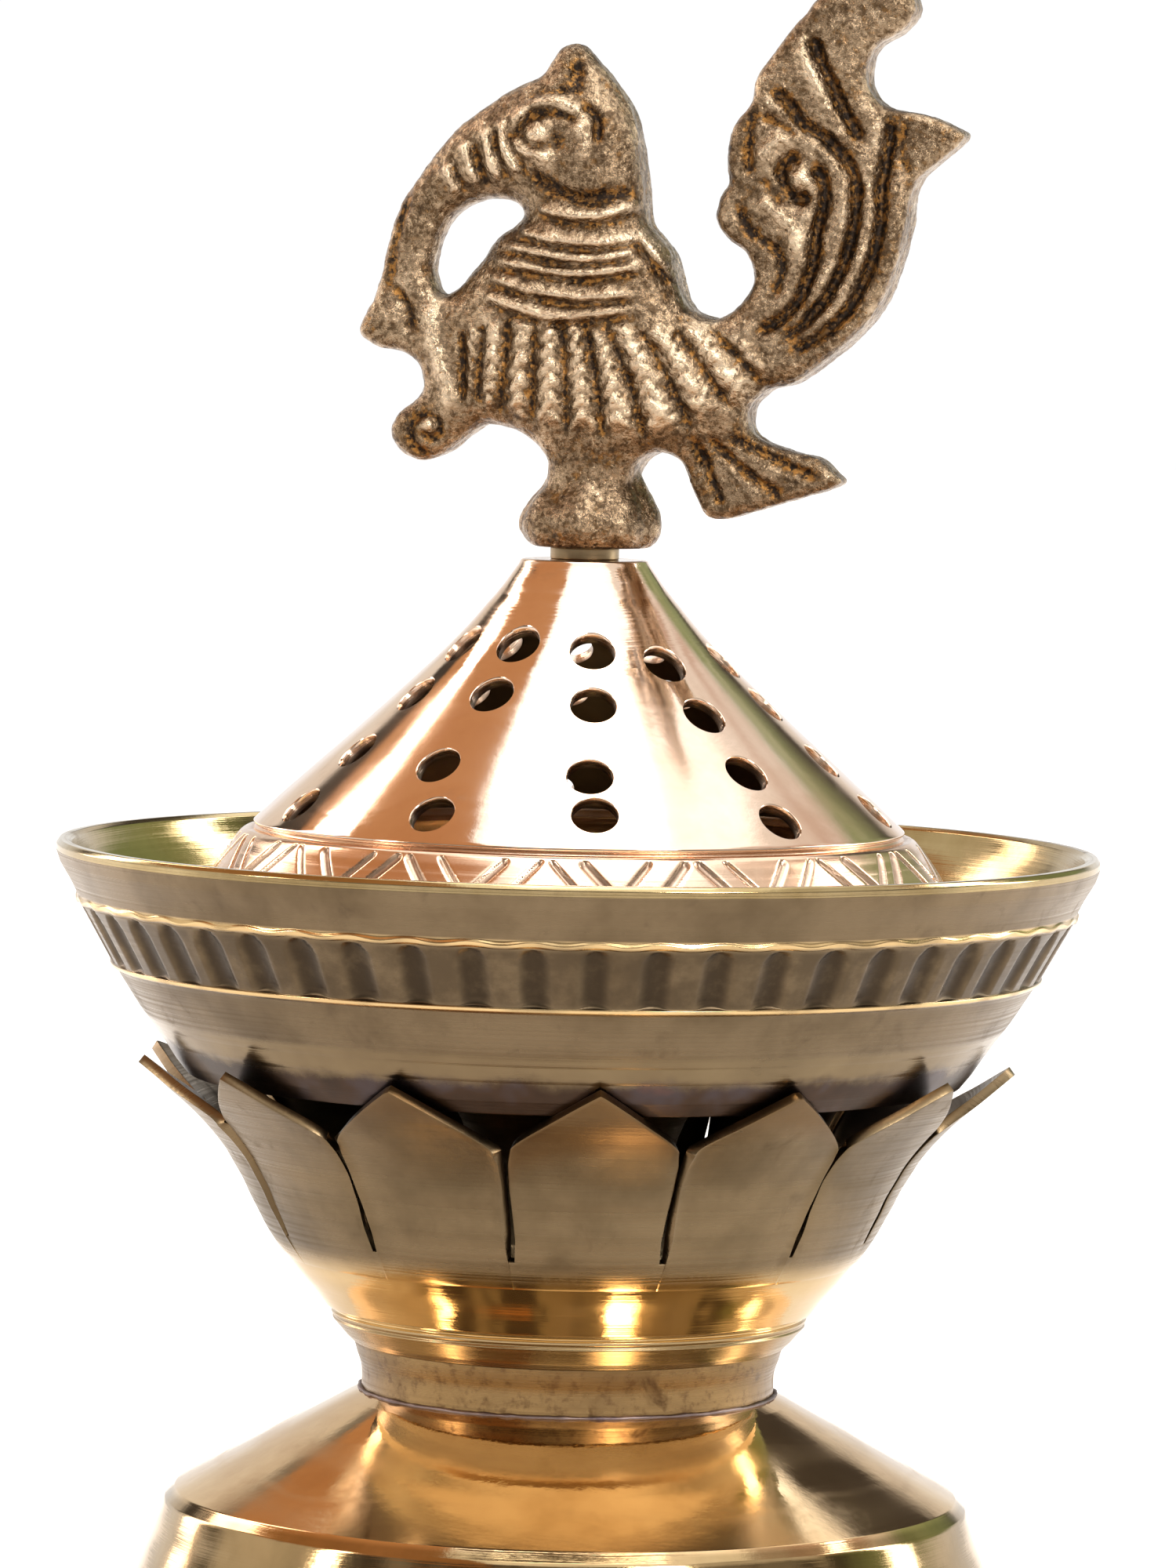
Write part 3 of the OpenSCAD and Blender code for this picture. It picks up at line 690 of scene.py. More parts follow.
def build_lid(material, shoulder_material):
    cone = curve(LID_NECK, 4)
    outside = [(3.0, 145.0), (6.9, 145.0), (7.25, 144.9)] + cone + [(37.45, 114.4), (37.45, 114.2),
                                                                   (37.1, 113.9)]
    inside = [(35.4, 113.9)] + [(r - 2, z) for r, z in cone[::-1] if z < 142.4] + [(5.9, 143),
                                                                                  (3.0, 143)]
    profile = spaced(rounded(outside + inside, 0.18, 24), 2.0)
    lid = lathe("lid_pierced", profile, 360, "lid", ["lid_cone"], material)
    face_outwards(lid)

    # smoke holes with a small worn edge
    verts, faces = [], []
    around = 40
    # the holes are drilled by hand: degrees off, and height, on the columns seen from the front
    rows_z = (135.0, 129.3, 122.1, 117.5)
    strayed = {7: ((0.0, 135.1), (-0.6, 129.4), (-2.1, 121.9), (-1.3, 117.9)),
               8: ((-5.5, 133.8), (-1.6, 128.3), (0.0, 122.2), (0.4, 117.1)),
               6: ((1.5, 135.6), (1.5, 130.2), (-2.1, 122.5), (3.1, 117.4)),
               5: ((2.2, 135.2), (2.7, 129.6), (2.2, 123.2), (2.2, 117.0)),
               9: ((1.7, 133.8), (1.7, 129.0), (0.7, 122.8), (1.7, 117.2))}
    neck = np.array(LID_NECK)[::-1]
    for c in range(HOLES):
        for row in range(4):
            rng = np.random.default_rng(c * 7 + row)
            off, z = strayed.get(c, {}) and strayed[c][row] or (rng.uniform(-2, 2),
                                                               rows_z[row] + rng.uniform(-0.4, 0.4))
            r = float(np.interp(z, neck[:, 1], neck[:, 0]))
            turn = math.radians(HOLE_TURN + 360 / HOLES * c + off)
            lean = math.radians(43)
            at = Vector((r * math.cos(turn), r * math.sin(turn), z))
            out = Vector((math.cos(turn) * math.sin(lean), math.sin(turn) * math.sin(lean),
                          math.cos(lean)))
            across = Vector((-math.sin(turn), math.cos(turn), 0))
            up = out.cross(across)
            base = len(verts)
            for h, radius in ((-5, 2.6), (-0.24, 2.6), (0.06, 2.78), (2.5, 5.2)):
                for j in range(around):
                    a = 2 * math.pi * j / around
                    verts.append(at + out * h + (across * math.cos(a) + up * math.sin(a)) * radius)
            for i in range(3):
                for j in range(around):
                    a, b = base + i * around + j, base + i * around + (j + 1) % around
                    faces.append((a, b, b + around, a + around))
            faces.append(tuple(base + j for j in range(around))[::-1])
            faces.append(tuple(base + 3 * around + j for j in range(around)))
    cutter = add_object("cutter", np.array([tuple(v) for v in verts]), faces, None)
    face_outwards(cutter)
    cut = lid.modifiers.new("holes", "BOOLEAN")
    cut.object, cut.operation, cut.solver = cutter, "DIFFERENCE", "MANIFOLD"
    apply_modifiers(lid)
    bpy.data.objects.remove(cutter)
    shade_turned(lid, outside, inside)
    reach = np.array(cone)[::-1]
    paint(lid, "soot", lambda p: (np.interp(p[:, 2], reach[:, 1], reach[:, 0]) - 0.5
                                  - np.hypot(p[:, 0], p[:, 1])) / 0.5 * (p[:, 2] < 144.5))

    # the engraved shoulder, its seat and the skirt that centres the lid in the bowl
    shoulder = curve([(38.4, 113.5), (39.3, 112.7), (41.8, 109.2), (43.6, 105.8), (45.1, 101.6),
                      (46.0, 98.2), (46.2, 97.3)], 14)
    outline = [(35.6, 113.9), (37.1, 113.9), (37.35, 113.55), (37.9, 113.6)] + shoulder
    outline += [(46.2, 97.05), (44.4, 97.05), (44.4, 93.5), (42.9, 93.5), (42.9, 97.2)]
    outline += [(44.2, 98.6), (43.5, 101), (41.6, 106), (39.5, 110), (37.2, 112.2), (35.6, 112.7)]
    profile = spaced(rounded(outline, 0.15, 24), 0.8)

    marks = {}

    def chevrons(r, z, t):
        band = (z < 113.2) & (z > 103.5) & (r > 38.2) & (np.abs(
            r - np.interp(z, [p[1] for p in shoulder[::-1]], [p[0] for p in shoulder[::-1]])) < 0.05)
        v = 110.6 - z
        depth = np.zeros_like(r)
        for side in (-1, 1):
            for off in (-2.0, 2.0):
                phase = np.degrees(t) - CHEVRON_TURN - side * 5
                u = (phase + 180 / CHEVRONS) % (360 / CHEVRONS) - 180 / CHEVRONS
                index = np.floor((phase + 180 / CHEVRONS) / (360 / CHEVRONS))
                wob = 0.25 * np.sin(index * 7.7 + side * 2 + off)
                x = np.radians(u) * 41 - off - wob
                lean = math.radians(45 * side)
                d = x * math.cos(lean) + v * math.sin(lean)
                along = -x * math.sin(lean) + v * math.cos(lean)
                inside_line = np.clip((3.7 - np.abs(along)) / 0.6, 0, 1)
                cut = 0.36 + 0.1 * np.sin(index * 3.1 + off)
                depth = np.maximum(depth, inside_line * np.exp(-(d / cut) ** 4))
        marks["groove"] = (depth * band).ravel()
        return r - 0.38 * depth * band, z - 0.19 * depth * band, t

    low = lathe("lid_shoulder", profile, 1440, "lid", ["lid_ring"],
                shoulder_material, chevrons)
    layer = low.data.attributes.new("groove", "FLOAT", "POINT")
    layer.data.foreach_set("value", marks["groove"])
    face_outwards(low)
    return lid, low


def shade_turned(obj, outside, inside):
    """Even shading on the pierced cone: normals come from the turned outline, not the cut mesh."""
    mesh = obj.data
    out = np.array(outside)
    n_loops = len(mesh.loops)
    co = np.empty(len(mesh.vertices) * 3)
    mesh.vertices.foreach_get("co", co)
    co = co.reshape(-1, 3) / MM
    vi = np.empty(n_loops, int)
    mesh.loops.foreach_get("vertex_index", vi)
    own = np.empty(n_loops * 3)
    mesh.corner_normals.foreach_get("vector", own)
    own = own.reshape(-1, 3).copy()
    starts = np.empty(len(mesh.polygons), int)
    totals = np.empty(len(mesh.polygons), int)
    mesh.polygons.foreach_get("loop_start", starts)
    mesh.polygons.foreach_get("loop_total", totals)
    normals = np.empty(len(mesh.polygons) * 3)
    mesh.polygons.foreach_get("normal", normals)
    normals = normals.reshape(-1, 3)
    poly = np.repeat(np.arange(len(starts)), totals)
    # slope of the outline at each height, smoothed
    zs = np.linspace(114.7, 144.7, 400)
    order = np.argsort(out[:, 1])
    pick = [i for i in order if 114.6 <= out[i, 1] <= 144.8]
    rs = np.interp(zs, out[pick, 1], out[pick, 0])
    slope = np.gradient(rs, zs)
    kernel = np.ones(9) / 9
    slope = np.convolve(np.pad(slope, 4, mode="edge"), kernel, "valid")
    p = co[vi]
    r = np.hypot(p[:, 0], p[:, 1])
    k = np.interp(p[:, 2], zs, slope)
    wanted = np.stack([p[:, 0] / r, p[:, 1] / r, -k], -1)
    wanted /= np.linalg.norm(wanted, axis=1, keepdims=True)
    face = normals[poly]
    on_outside = (np.einsum("ij,ij->i", face, wanted) > 0.985) & (p[:, 2] > 114.8) & (p[:, 2] < 144.6)
    on_inside = (np.einsum("ij,ij->i", face, wanted) < -0.985) & (p[:, 2] > 114.8) & (p[:, 2] < 142)
    result = np.where(on_outside[:, None], wanted, np.where(on_inside[:, None], -wanted, face))
    edge = ~(on_outside | on_inside)
    flat = np.abs(np.einsum("ij,ij->i", face, own)) > 0.8
    result = np.where((edge & flat)[:, None], own, result)
    mesh.normals_split_custom_set(result.tolist())


def build_spacer(material):
    outline = [(2.7, 145.0), (3.95, 145.0), (3.95, 146.4), (2.7, 146.4)]
    profile = spaced(rounded(outline, 0.2), 0.3, 0.05)
    piece = lathe("spacer_turned", profile, 96, "lid", ["finial_spacer"], material)
    face_outwards(piece)
    return piece


# ---------------------------------------------------------------- bird
# The bird's own plane: x along the body, z up from the bottom of the foot
BIRD_Z = 146.4
OUTLINE = [
    (-2.3, 57.5), (-1.0, 57.2), (1.0, 55.0), (3.4, 52.1), (5.0, 49.1), (5.9, 45.3), (6.5, 40.8),
    (6.9, 37.4), (8.3, 35.6), (9.9, 33.5), (10.8, 30.1), (11.7, 28.0), (13.1, 27.0), (15.6, 26.5),
    (18.1, 28.1), (19.5, 30.5), (19.6, 32.2), (18.7, 34.2), (16.6, 35.6), (15.1, 37.9), (15.6, 40.4),
    (16.6, 42.0), (16.3, 45.0), (17.1, 48.6), (18.9, 51.1), (19.5, 54.0), (21.8, 57.5), (24.4, 60.7),
    (26.6, 63.4), (29.6, 65.6), (33.0, 66.2), (35.9, 65.0), (37.5, 62.2), (36.1, 59.7), (33.0, 57.7),
    (32.0, 55.0), (32.6, 52.3), (34.9, 50.7), (39.3, 49.9), (42.8, 48.4), (43.3, 47.5), (41.2, 45.4),
    (38.5, 43.2), (37.4, 40.9), (37.0, 37.5), (36.1, 33.5), (34.7, 29.6), (32.7, 26.3), (29.0, 22.8),
    (25.4, 20.0), (23.5, 19.1), (21.3, 18.5), (19.6, 16.8), (19.2, 15.2), (20.0, 13.2), (23.3, 11.8),
    (27.2, 10.9), (29.2, 9.3), (29.8, 7.9), (24.3, 6.0), (17.5, 3.9), (15.5, 3.7), (14.1, 4.7),
    (12.6, 7.9), (11.6, 10.1), (9.5, 11.2), (7.4, 10.6), (6.3, 9.2), (5.6, 6.5), (5.4, 1.4),
    (-4.2, 1.4), (-4.2, 6.5), (-3.9, 8.6), (-4.1, 10.2), (-5.6, 12.0), (-8.4, 13.4), (-11.4, 13.9),
    (-13.7, 12.5), (-16.2, 10.5), (-19.0, 9.5), (-21.6, 10.6), (-22.8, 12.7), (-22.0, 14.9),
    (-20.0, 16.3), (-19.1, 18.0), (-19.7, 20.5), (-21.7, 21.9), (-24.5, 22.4), (-26.5, 23.7),
    (-26.7, 24.8), (-25.8, 26.9), (-25.0, 28.2), (-24.2, 31.2), (-23.2, 35.7), (-21.7, 39.6),
    (-19.2, 43.1), (-16.5, 46.7), (-12.9, 49.7), (-9.3, 52.0), (-6.1, 53.7), (-4.7, 55.4),
    (-3.8, 56.9)]
BEAK_LOOP = [
    (-7.4, 38.2), (-9.0, 39.5), (-12.7, 39.5), (-15.9, 37.7), (-17.2, 35.6), (-18.2, 31.8),
    (-17.6, 29.2), (-16.6, 28.6), (-15.7, 29.0), (-14.3, 30.2), (-12.1, 32.9), (-10.5, 35.2),
    (-8.1, 36.8)]
# x, z, half thickness in the middle, at the edge, and how far the edge is rounded
THICK = [
    (-3, 47, 6.6, 1.8, 7.0), (2.5, 44, 7.0, 2.4, 6.5), (-0.5, 56, 2.9, 1.2, 2.6),
    (-12, 45, 4.9, 1.7, 4.4), (-19, 38, 3.6, 1.4, 3.0), (-22, 30, 3.3, 1.4, 2.8),
    (-25, 24, 2.8, 1.1, 2.4), (-17.5, 21, 3.2, 1.4, 2.8), (-20, 13, 3.7, 1.4, 2.8),
    (0, 36, 6.3, 2.2, 6.0), (0, 29, 7.0, 2.6, 6.5), (-10, 21, 6.2, 2.0, 5.6),
    (2, 18, 7.3, 3.2, 5.6), (12, 21, 6.3, 2.8, 4.4), (20, 24, 5.2, 3.2, 2.8), (28, 33, 4.8, 3.4, 2.0),
    (34, 36, 4.2, 3.4, 1.4), (24, 46, 4.7, 3.2, 1.8), (27, 57, 4.3, 2.8, 2.0), (32, 63, 3.9, 2.4, 2.2),
    (40, 48, 3.0, 2.2, 1.2), (20, 8, 3.5, 2.2, 1.7), (28, 8.5, 2.8, 1.8, 1.3), (1, 8, 5.0, 2.6, 3.4)]
WING = [(-14.5, 24.2), (-10, 25.6), (-4, 25.8), (2, 25.6), (8, 25.4), (13, 25.6), (17.2, 25.0),
        (20.6, 22.4), (21.4, 20.0), (19.6, 18.6), (18.0, 16.4), (15.4, 16.4), (13.2, 14.2),
        (10.4, 14.6), (8.0, 13.0), (5.4, 14.2), (3.0, 13.2), (0.9, 14.4), (-1.2, 13.6),
        (-3.2, 14.8), (-5.2, 14.4), (-7.2, 15.6), (-9.4, 15.2), (-12.0, 16.8), (-14.2, 17.4)]
WING_LINES = [[(-13.9, 24.6), (-14.0, 17.4)], [(-11.3, 25), (-11.8, 20), (-11.8, 16)],
              [(-8.3, 25.4), (-8.7, 20), (-9.3, 15)], [(-5.1, 25.6), (-5.2, 20), (-5.2, 14.8)],
              [(-1.9, 25.6), (-1.3, 20), (-1.1, 13.6)], [(0.8, 25.6), (2.2, 20), (3.0, 13.2)],
              [(3.2, 25.6), (5.8, 20), (7.9, 13.0)], [(7.4, 24.8), (10.3, 20), (13.2, 14)],
              [(11.4, 25), (14.8, 20.4), (17.8, 16.2)], [(15.6, 25.2), (18.4, 22.2), (21.0, 19.4)]]
NECK_RIDGES = [[(-5.2, 38.8), (-1, 37.9), (3, 38.1), (6.8, 39.4)],
               [(-7.6, 36.2), (-3, 35.2), (2, 34.9), (7.4, 35.8)],
               [(-9.0, 34.6), (-4, 33.5), (1, 33.1), (6.6, 34.0)],
               [(-10.4, 32.8), (-5, 31.9), (0.6, 31.4), (7.0, 32.4)],
               [(-11.0, 30.9), (-6, 29.5), (0, 28.7), (6.2, 29.2)],
               [(-11.4, 28.8), (-7, 27.3), (-2, 26.4), (5.6, 27.4)]]
BEAK_BARS = [[(-9.7, 48.6), (-9.3, 45.5), (-7.6, 42.7)], [(-11.7, 47.6), (-11.1, 44.8), (-10.0, 41.9)],
             [(-14.1, 46.0), (-13.5, 43.5), (-12.4, 41.2)], [(-16.4, 43.4), (-15.7, 41.6),
             (-14.9, 40.4)]]
# long feathers of the tail, each a groove between two rounded ridges
TAIL_LINES = [
    [(26.0, 58.6), (27.0, 56), (28.5, 53), (30.0, 50), (31.8, 47.2)],
    [(21.4, 52.6), (23.5, 51), (25.2, 48.6), (27.8, 47.2), (29.8, 45.2), (31.2, 43), (31.5, 40),
    (31.1, 36.5), (30, 32.5), (28.4, 29.4), (26.2, 26.6), (23.4, 24.4)],
    [(35.2, 49.6), (34.8, 46), (34.3, 42), (34.3, 38.5), (33.8, 35), (32.7, 31.5), (30.9, 28),
    (28.0, 25.0), (24.6, 23.0)],
    [(26.2, 44.0), (27.6, 42.5), (27.9, 40.5), (27.3, 38), (26.9, 35), (26.6, 32.5), (25.6, 29.5),
    (23.4, 26.8), (20.6, 25.2)],
    [(24.9, 45.0), (23.4, 44.7), (22.8, 43.1), (23.4, 41.3), (24.8, 40.2), (26.2, 40.6)]]
TAIL_EDGES = [[(18.0, 39.4), (19.2, 36.8), (21.4, 35.2), (22.9, 33.7), (23.2, 31.6), (22.0, 29.4)],
              [(19.6, 50.0), (18.9, 47), (19.2, 43.2)], [(20.4, 49.6), (22.4, 48.8), (24.4, 47.2)]]
FAN_LINES = [[(13.4, 12.8), (16.6, 5.4)], [(15.0, 12.9), (19, 9.4), (23.4, 6.5)],
             [(17.6, 13.0), (22.4, 10.8), (27.4, 8.6)]]


def spiral(x, z, r0, r1, turns, start, n=26):
    out = []
    for i in range(n + 1):
        f = i / n
        a = math.radians(start) + 2 * math.pi * turns * f
        r = r0 + (r1 - r0) * f
        out.append((x + r * math.cos(a), z + r * math.sin(a)))
    return out


def line_distance(p, line):
    """Distance from each point to an open line, and how far along it, from 0 to 1."""
    line = np.array(line, float)
    best = np.full(len(p), 1e9)
    where = np.zeros(len(p))
    lengths = np.linalg.norm(np.diff(line, axis=0), axis=1)
    total, run = lengths.sum(), 0.0
    for a, b, length in zip(line[:-1], line[1:], lengths):
        d = (b - a) / max(length, 1e-9)
        t = np.clip((p - a) @ d, 0, length)
        away = np.hypot(p[:, 0] - a[0] - t * d[0], p[:, 1] - a[1] - t * d[1])
        near = away < best
        best[near] = away[near]
        where[near] = (run + t[near]) / total
        run += length
    return best, where


def loop_distance(p, loop):
    return line_distance(p, np.vstack([loop, loop[:1]]))[0]


def in_loop(p, loop):
    inside = np.zeros(len(p), bool)
    for a, b in zip(loop, np.roll(loop, -1, 0)):
        cross = (a[1] > p[:, 1]) != (b[1] > p[:, 1])
        with np.errstate(divide="ignore", invalid="ignore"):
            x = (b[0] - a[0]) * (p[:, 1] - a[1]) / (b[1] - a[1]) + a[0]
        inside ^= cross & (p[:, 0] < x)
    return inside


def bird_relief(p):
    """Carving on each side of the bird, in mm out from the plain rounded form."""
    out = np.zeros(len(p))

    def mark(line, width, height, smooth=True, taper=0.07):
        nonlocal out
        pts = curve(line, 4) if smooth and len(line) > 2 else line
        d, t = line_distance(p, pts)
        ends = np.clip(np.minimum(t, 1 - t) / taper + 0.25, 0, 1)
        out = out + height * ends * np.exp(-(d / width) ** 2)

    def dot(x, z, radius, height, stretch=1.0):
        nonlocal out
        d2 = (p[:, 0] - x) ** 2 + ((p[:, 1] - z) / stretch) ** 2
        out = out + height * np.exp(-d2 / radius ** 2)

    # wing: rounded feathers, cut across by short uneven steps
    wing = smooth_loop(WING, 2)
    side = loop_distance(p, wing) * np.where(in_loop(p, wing), 1, -1)
    on_wing = np.clip(side / 1.1 + 0.5, 0, 1)
    nearest = np.full(len(p), 9.0)
    for line in WING_LINES:
        nearest = np.minimum(nearest, line_distance(p, curve(line, 4))[0])
    out += on_wing * (1.75 * np.sqrt(np.clip(nearest / 1.8, 0, 1)) - 0.95)
    reach = np.hypot(p[:, 0] + 1.0, p[:, 1] - 46) + 0.08 * nearest
    drift = 0.35 * np.sin(p[:, 0] * 1.7) + 0.2 * np.sin(p[:, 0] * 0.6 + p[:, 1] * 0.5)
    step = (reach / 2.0 + drift) % 1
    notch = np.exp(-((step - 0.5) / 0.17) ** 2)
    out -= on_wing * 0.45 * notch * np.clip(nearest / 0.8, 0, 1)
    # collar of the neck
    for line in NECK_RIDGES:
        mark(line, 0.62, 0.62)
        mark([(x, z - 0.95) for x, z in line], 0.42, -0.55)
    mark([(-6.0, 42.6), (-2.4, 40.6), (1.2, 39.8), (5.4, 40.8)], 0.8, -1.0)
    # eye under its brow, beak bars, ear and crest
    mark([(-8.2, 46.4), (-6.6, 48.9), (-3.6, 49.6), (-0.6, 48.4)], 0.55, -0.65)
    mark([(-8.6, 47.4), (-6.8, 50.2), (-3.4, 50.9), (-0.2, 49.6)], 0.6, 0.5)
    mark([(-8.3, 46.8), (-7.4, 45.4), (-5.4, 44.8), (-3.8, 44.3)], 0.6, 0.65)
    dot(-3.0, 46.4, 1.0, -0.7)
    dot(-5.4, 46.9, 1.35, 0.75, 0.8)
    mark([(-7.3, 46.9), (-6.1, 45.9), (-4.4, 45.9)], 0.35, -0.5)
    mark([(0.1, 50.4), (1.5, 48.8), (1.7, 46.4)], 0.5, -1.0)
    mark([(-1.2, 48.6), (0.3, 46.8), (0.4, 44.4)], 0.7, 0.45)
    dot(-1.4, 54.1, 0.8, -1.0, 1.7)
    dot(-2.9, 52.3, 0.5, -0.6)
    mark([(-6.8, 51.4), (-4.0, 51.9), (-0.8, 51.9)], 0.4, -0.4)
    for line in BEAK_BARS:
        mark(line, 0.6, 0.7)
        mark([(x + 0.95, z) for x, z in line], 0.5, -0.45)
    mark([(-21.0, 39.0), (-22.3, 34), (-22.9, 29.4)], 0.6, -0.45)
    # a leaf at the nape
    mark([(7.2, 35.6), (9.4, 34.0), (11.2, 31.4)], 1.0, 0.8)
    mark([(6.6, 34.4), (8.0, 32.8), (10.2, 30.4)], 0.45, -0.9)
    # chest strand and its volute, beak tip
    mark([(-16.4, 30.0), (-18.0, 27.0), (-17.4, 22.4), (-15.8, 18.6), (-15.6, 15.4)], 0.9, 0.55)
    mark([(-14.2, 24.5), (-13.6, 20.0), (-13.8, 16.4)], 0.5, -0.5)
    mark(spiral(-17.9, 13.0, 0.5, 2.7, 1.2, 200), 0.45, -0.7, False, 0.02)
    dot(-17.9, 13.6, 0.9, 0.6)
    mark([(-22.4, 29.6), (-20.6, 27.0), (-20.4, 24.4)], 0.55, -0.6)
    dot(-22.6, 26.0, 1.0, 0.4)
    # tail
    for line in TAIL_LINES:
        mark(line, 0.72, -1.15, taper=0.04)
        mark([(x - 1.5, z) for x, z in line], 0.9, 0.22, taper=0.04)
    for line in TAIL_EDGES:
        mark(line, 0.55, -0.75)
    for line in FAN_LINES:
        mark(line, 0.55, -0.8)
    dot(25.0, 42.6, 1.1, 0.65)
    mark([(20.2, 39.8), (22.4, 38.8), (24.2, 37.0), (24.8, 34.0)], 0.8, 0.55)
    mark([(20.2, 44.8), (22.2, 46.9), (24.8, 47.4)], 0.7, 0.5)
    mark([(20.6, 42.6), (21.6, 41.4), (23.0, 39.6)], 0.55, -0.6)
    mark([(36.9, 49.2), (36.2, 46.4), (37.2, 43.4)], 0.5, -0.4)
    mark([(24.4, 57.4), (26.0, 54.4), (27.2, 51.8)], 0.8, 0.4)
    barbs = np.clip((p[:, 0] - 19) / 4, 0, 1) * np.clip((p[:, 1] - 22) / 4, 0, 1)
    out += 0.06 * barbs * np.sin((p[:, 1] * 0.9 + p[:, 0] * 0.45) * 2 * math.pi / 0.95)
    return out


def bird_half_thickness(p, edge):
    weights = np.zeros((len(THICK), len(p)))
    table = np.array(THICK, float)
    for i, row in enumerate(table):
        d2 = (p[:, 0] - row[0]) ** 2 + (p[:, 1] - row[1]) ** 2
        weights[i] = np.exp(-d2 / 40) + 1e-6 / (d2 + 1)
    weights /= weights.sum(0)
    middle, wall, reach = (weights.T @ table[:, k] for k in (2, 3, 4))
    f = np.clip(edge / reach, 0, 1)
    plain = wall + (middle - wall) * np.sqrt(1 - (1 - f) ** 2)
    return plain, np.clip(edge / 0.9, 0, 1)


def build_bird(material):
    outline = smooth_loop(OUTLINE, 5)
    loop = smooth_loop(BEAK_LOOP, 4)
    step = 0.36
    xs = np.arange(outline[:, 0].min(), outline[:, 0].max(), step)
    zs = np.arange(outline[:, 1].min(), outline[:, 1].max(), step)
    grid = np.array([(x + (step / 2 if k % 2 else 0), z) for k, z in enumerate(zs) for x in xs])
    keep = in_loop(grid, outline) & ~in_loop(grid, loop)
    grid = grid[keep]
    edge = np.minimum(loop_distance(grid, outline), loop_distance(grid, loop))
    grid = grid[edge > 0.22]
    points = np.vstack([outline, loop, grid])
    rims = [(i, (i + 1) % len(outline)) for i in range(len(outline))]
    rims += [(len(outline) + i, len(outline) + (i + 1) % len(loop)) for i in range(len(loop))]
    result = geometry.delaunay_2d_cdt([Vector(q) for q in points], rims, [], 0, 1e-5)
    flat = np.array([tuple(q) for q in result[0]])
    tris = np.array([f for f in result[2] if len(f) == 3])
    centre = flat[tris].mean(1)
    tris = tris[in_loop(centre, outline) & ~in_loop(centre, loop)]
    edge = np.minimum(loop_distance(flat, outline), loop_distance(flat, loop))
    plain, fade = bird_half_thickness(flat, edge)
    half = np.maximum(plain + bird_relief(flat) * fade, 0.7)
    half = np.minimum(half, RELIEF_LIMIT)
    n = len(flat)
    front = np.stack([flat[:, 0], -half, flat[:, 1]], -1)
    back = np.stack([flat[:, 0], half, flat[:, 1]], -1)
    faces = tris.tolist() + (tris[:, ::-1] + n).tolist()
    # walls between the two sides, on every edge that only one triangle uses
    count = {}
    for a, b, c in tris:
        for e in ((a, b), (b, c), (c, a)):
            key = (min(e), max(e))
            count[key] = None if key in count else e
    faces += [(e[1], e[0], e[0] + n, e[1] + n) for e in count.values() if e is not None]
    verts = np.vstack([front, back])

    # the lobed foot that the leg grows out of
    rows = [(6.3, 0.0, 0.7), (6.9, 0.15, 0.7), (7.6, 0.8, 0.65), (8.1, 1.9, 0.6), (8.15, 3.0, 0.6),
            (7.8, 4.2, 0.7), (7.0, 5.6, 0.8), (6.0, 7.0, 1.0), (5.3, 8.2, 1.1), (5.0, 9.4, 1.1),
            (4.9, 12, 1.1)]
    around, base = 72, len(verts)
    ring = []
    for k, (r, z, x) in enumerate(rows):
        lobe = 0.05 * min(1, k / 3) * max(0, 1 - max(0, k - 6) / 4)
        for j in range(around):
            a = 2 * math.pi * j / around
            rr = r * (1 + lobe * (abs(math.cos(4 * a + 0.3)) - 0.6) * 1.6)
            ring.append((x + rr * math.cos(a), rr * 0.9 * math.sin(a), z))
    verts = np.vstack([verts, ring])
    faces += ring_faces(len(rows), around, False, base)
    faces.append(tuple(base + j for j in range(around))[::-1])
    faces.append(tuple(base + (len(rows) - 1) * around + j for j in range(around)))
    verts[:, 2] += BIRD_Z
    bird = add_object("bird_cast", verts, faces, "lid", ["bird_finial"])
    face_outwards(bird)
    fuse = bird.modifiers.new("fuse", "REMESH")
    fuse.mode, fuse.voxel_size = "VOXEL", 0.27 * MM
    fuse.use_smooth_shade = True
    soften = bird.modifiers.new("soften", "SMOOTH")
    soften.factor, soften.iterations = 0.5, 2
    apply_modifiers(bird)

    # cast skin: small lumps and pits, and a record of what lies deep for the patina
    mesh = bird.data
    n = len(mesh.vertices)
    co, no = np.empty(n * 3), np.empty(n * 3)
    mesh.vertices.foreach_get("co", co)
    mesh.vertices.foreach_get("normal", no)
    co, no = co.reshape(-1, 3) / MM, no.reshape(-1, 3)
    lumps = np.array([noise.noise(Vector(q) * 0.45) * 0.13 + noise.noise(Vector(q) * 1.2) * 0.06
                      + noise.noise(Vector(q) * 2.4 + Vector((9, 2, 4))) * 0.045 for q in co])
    low = co[:, 2] < BIRD_Z + 0.4
    lumps[low] = 0
    p = np.stack([co[:, 0], co[:, 2] - BIRD_Z], -1)
    carved = bird_relief(p)
    co = co + no * lumps[:, None]
    co[:, 1] = np.clip(co[:, 1], -BIRD_LIMIT, BIRD_LIMIT)
    mesh.vertices.foreach_set("co", (co * MM).ravel())
    facing = np.abs(no[:, 1])
    cavity = np.clip(0.46 - 0.5 * carved * facing - 0.9 * lumps, 0, 1)
    layer = mesh.attributes.new("cavity", "FLOAT", "POINT")
    layer.data.foreach_set("value", cavity)
    mesh.materials.append(material)
    mesh.update()
    return bird


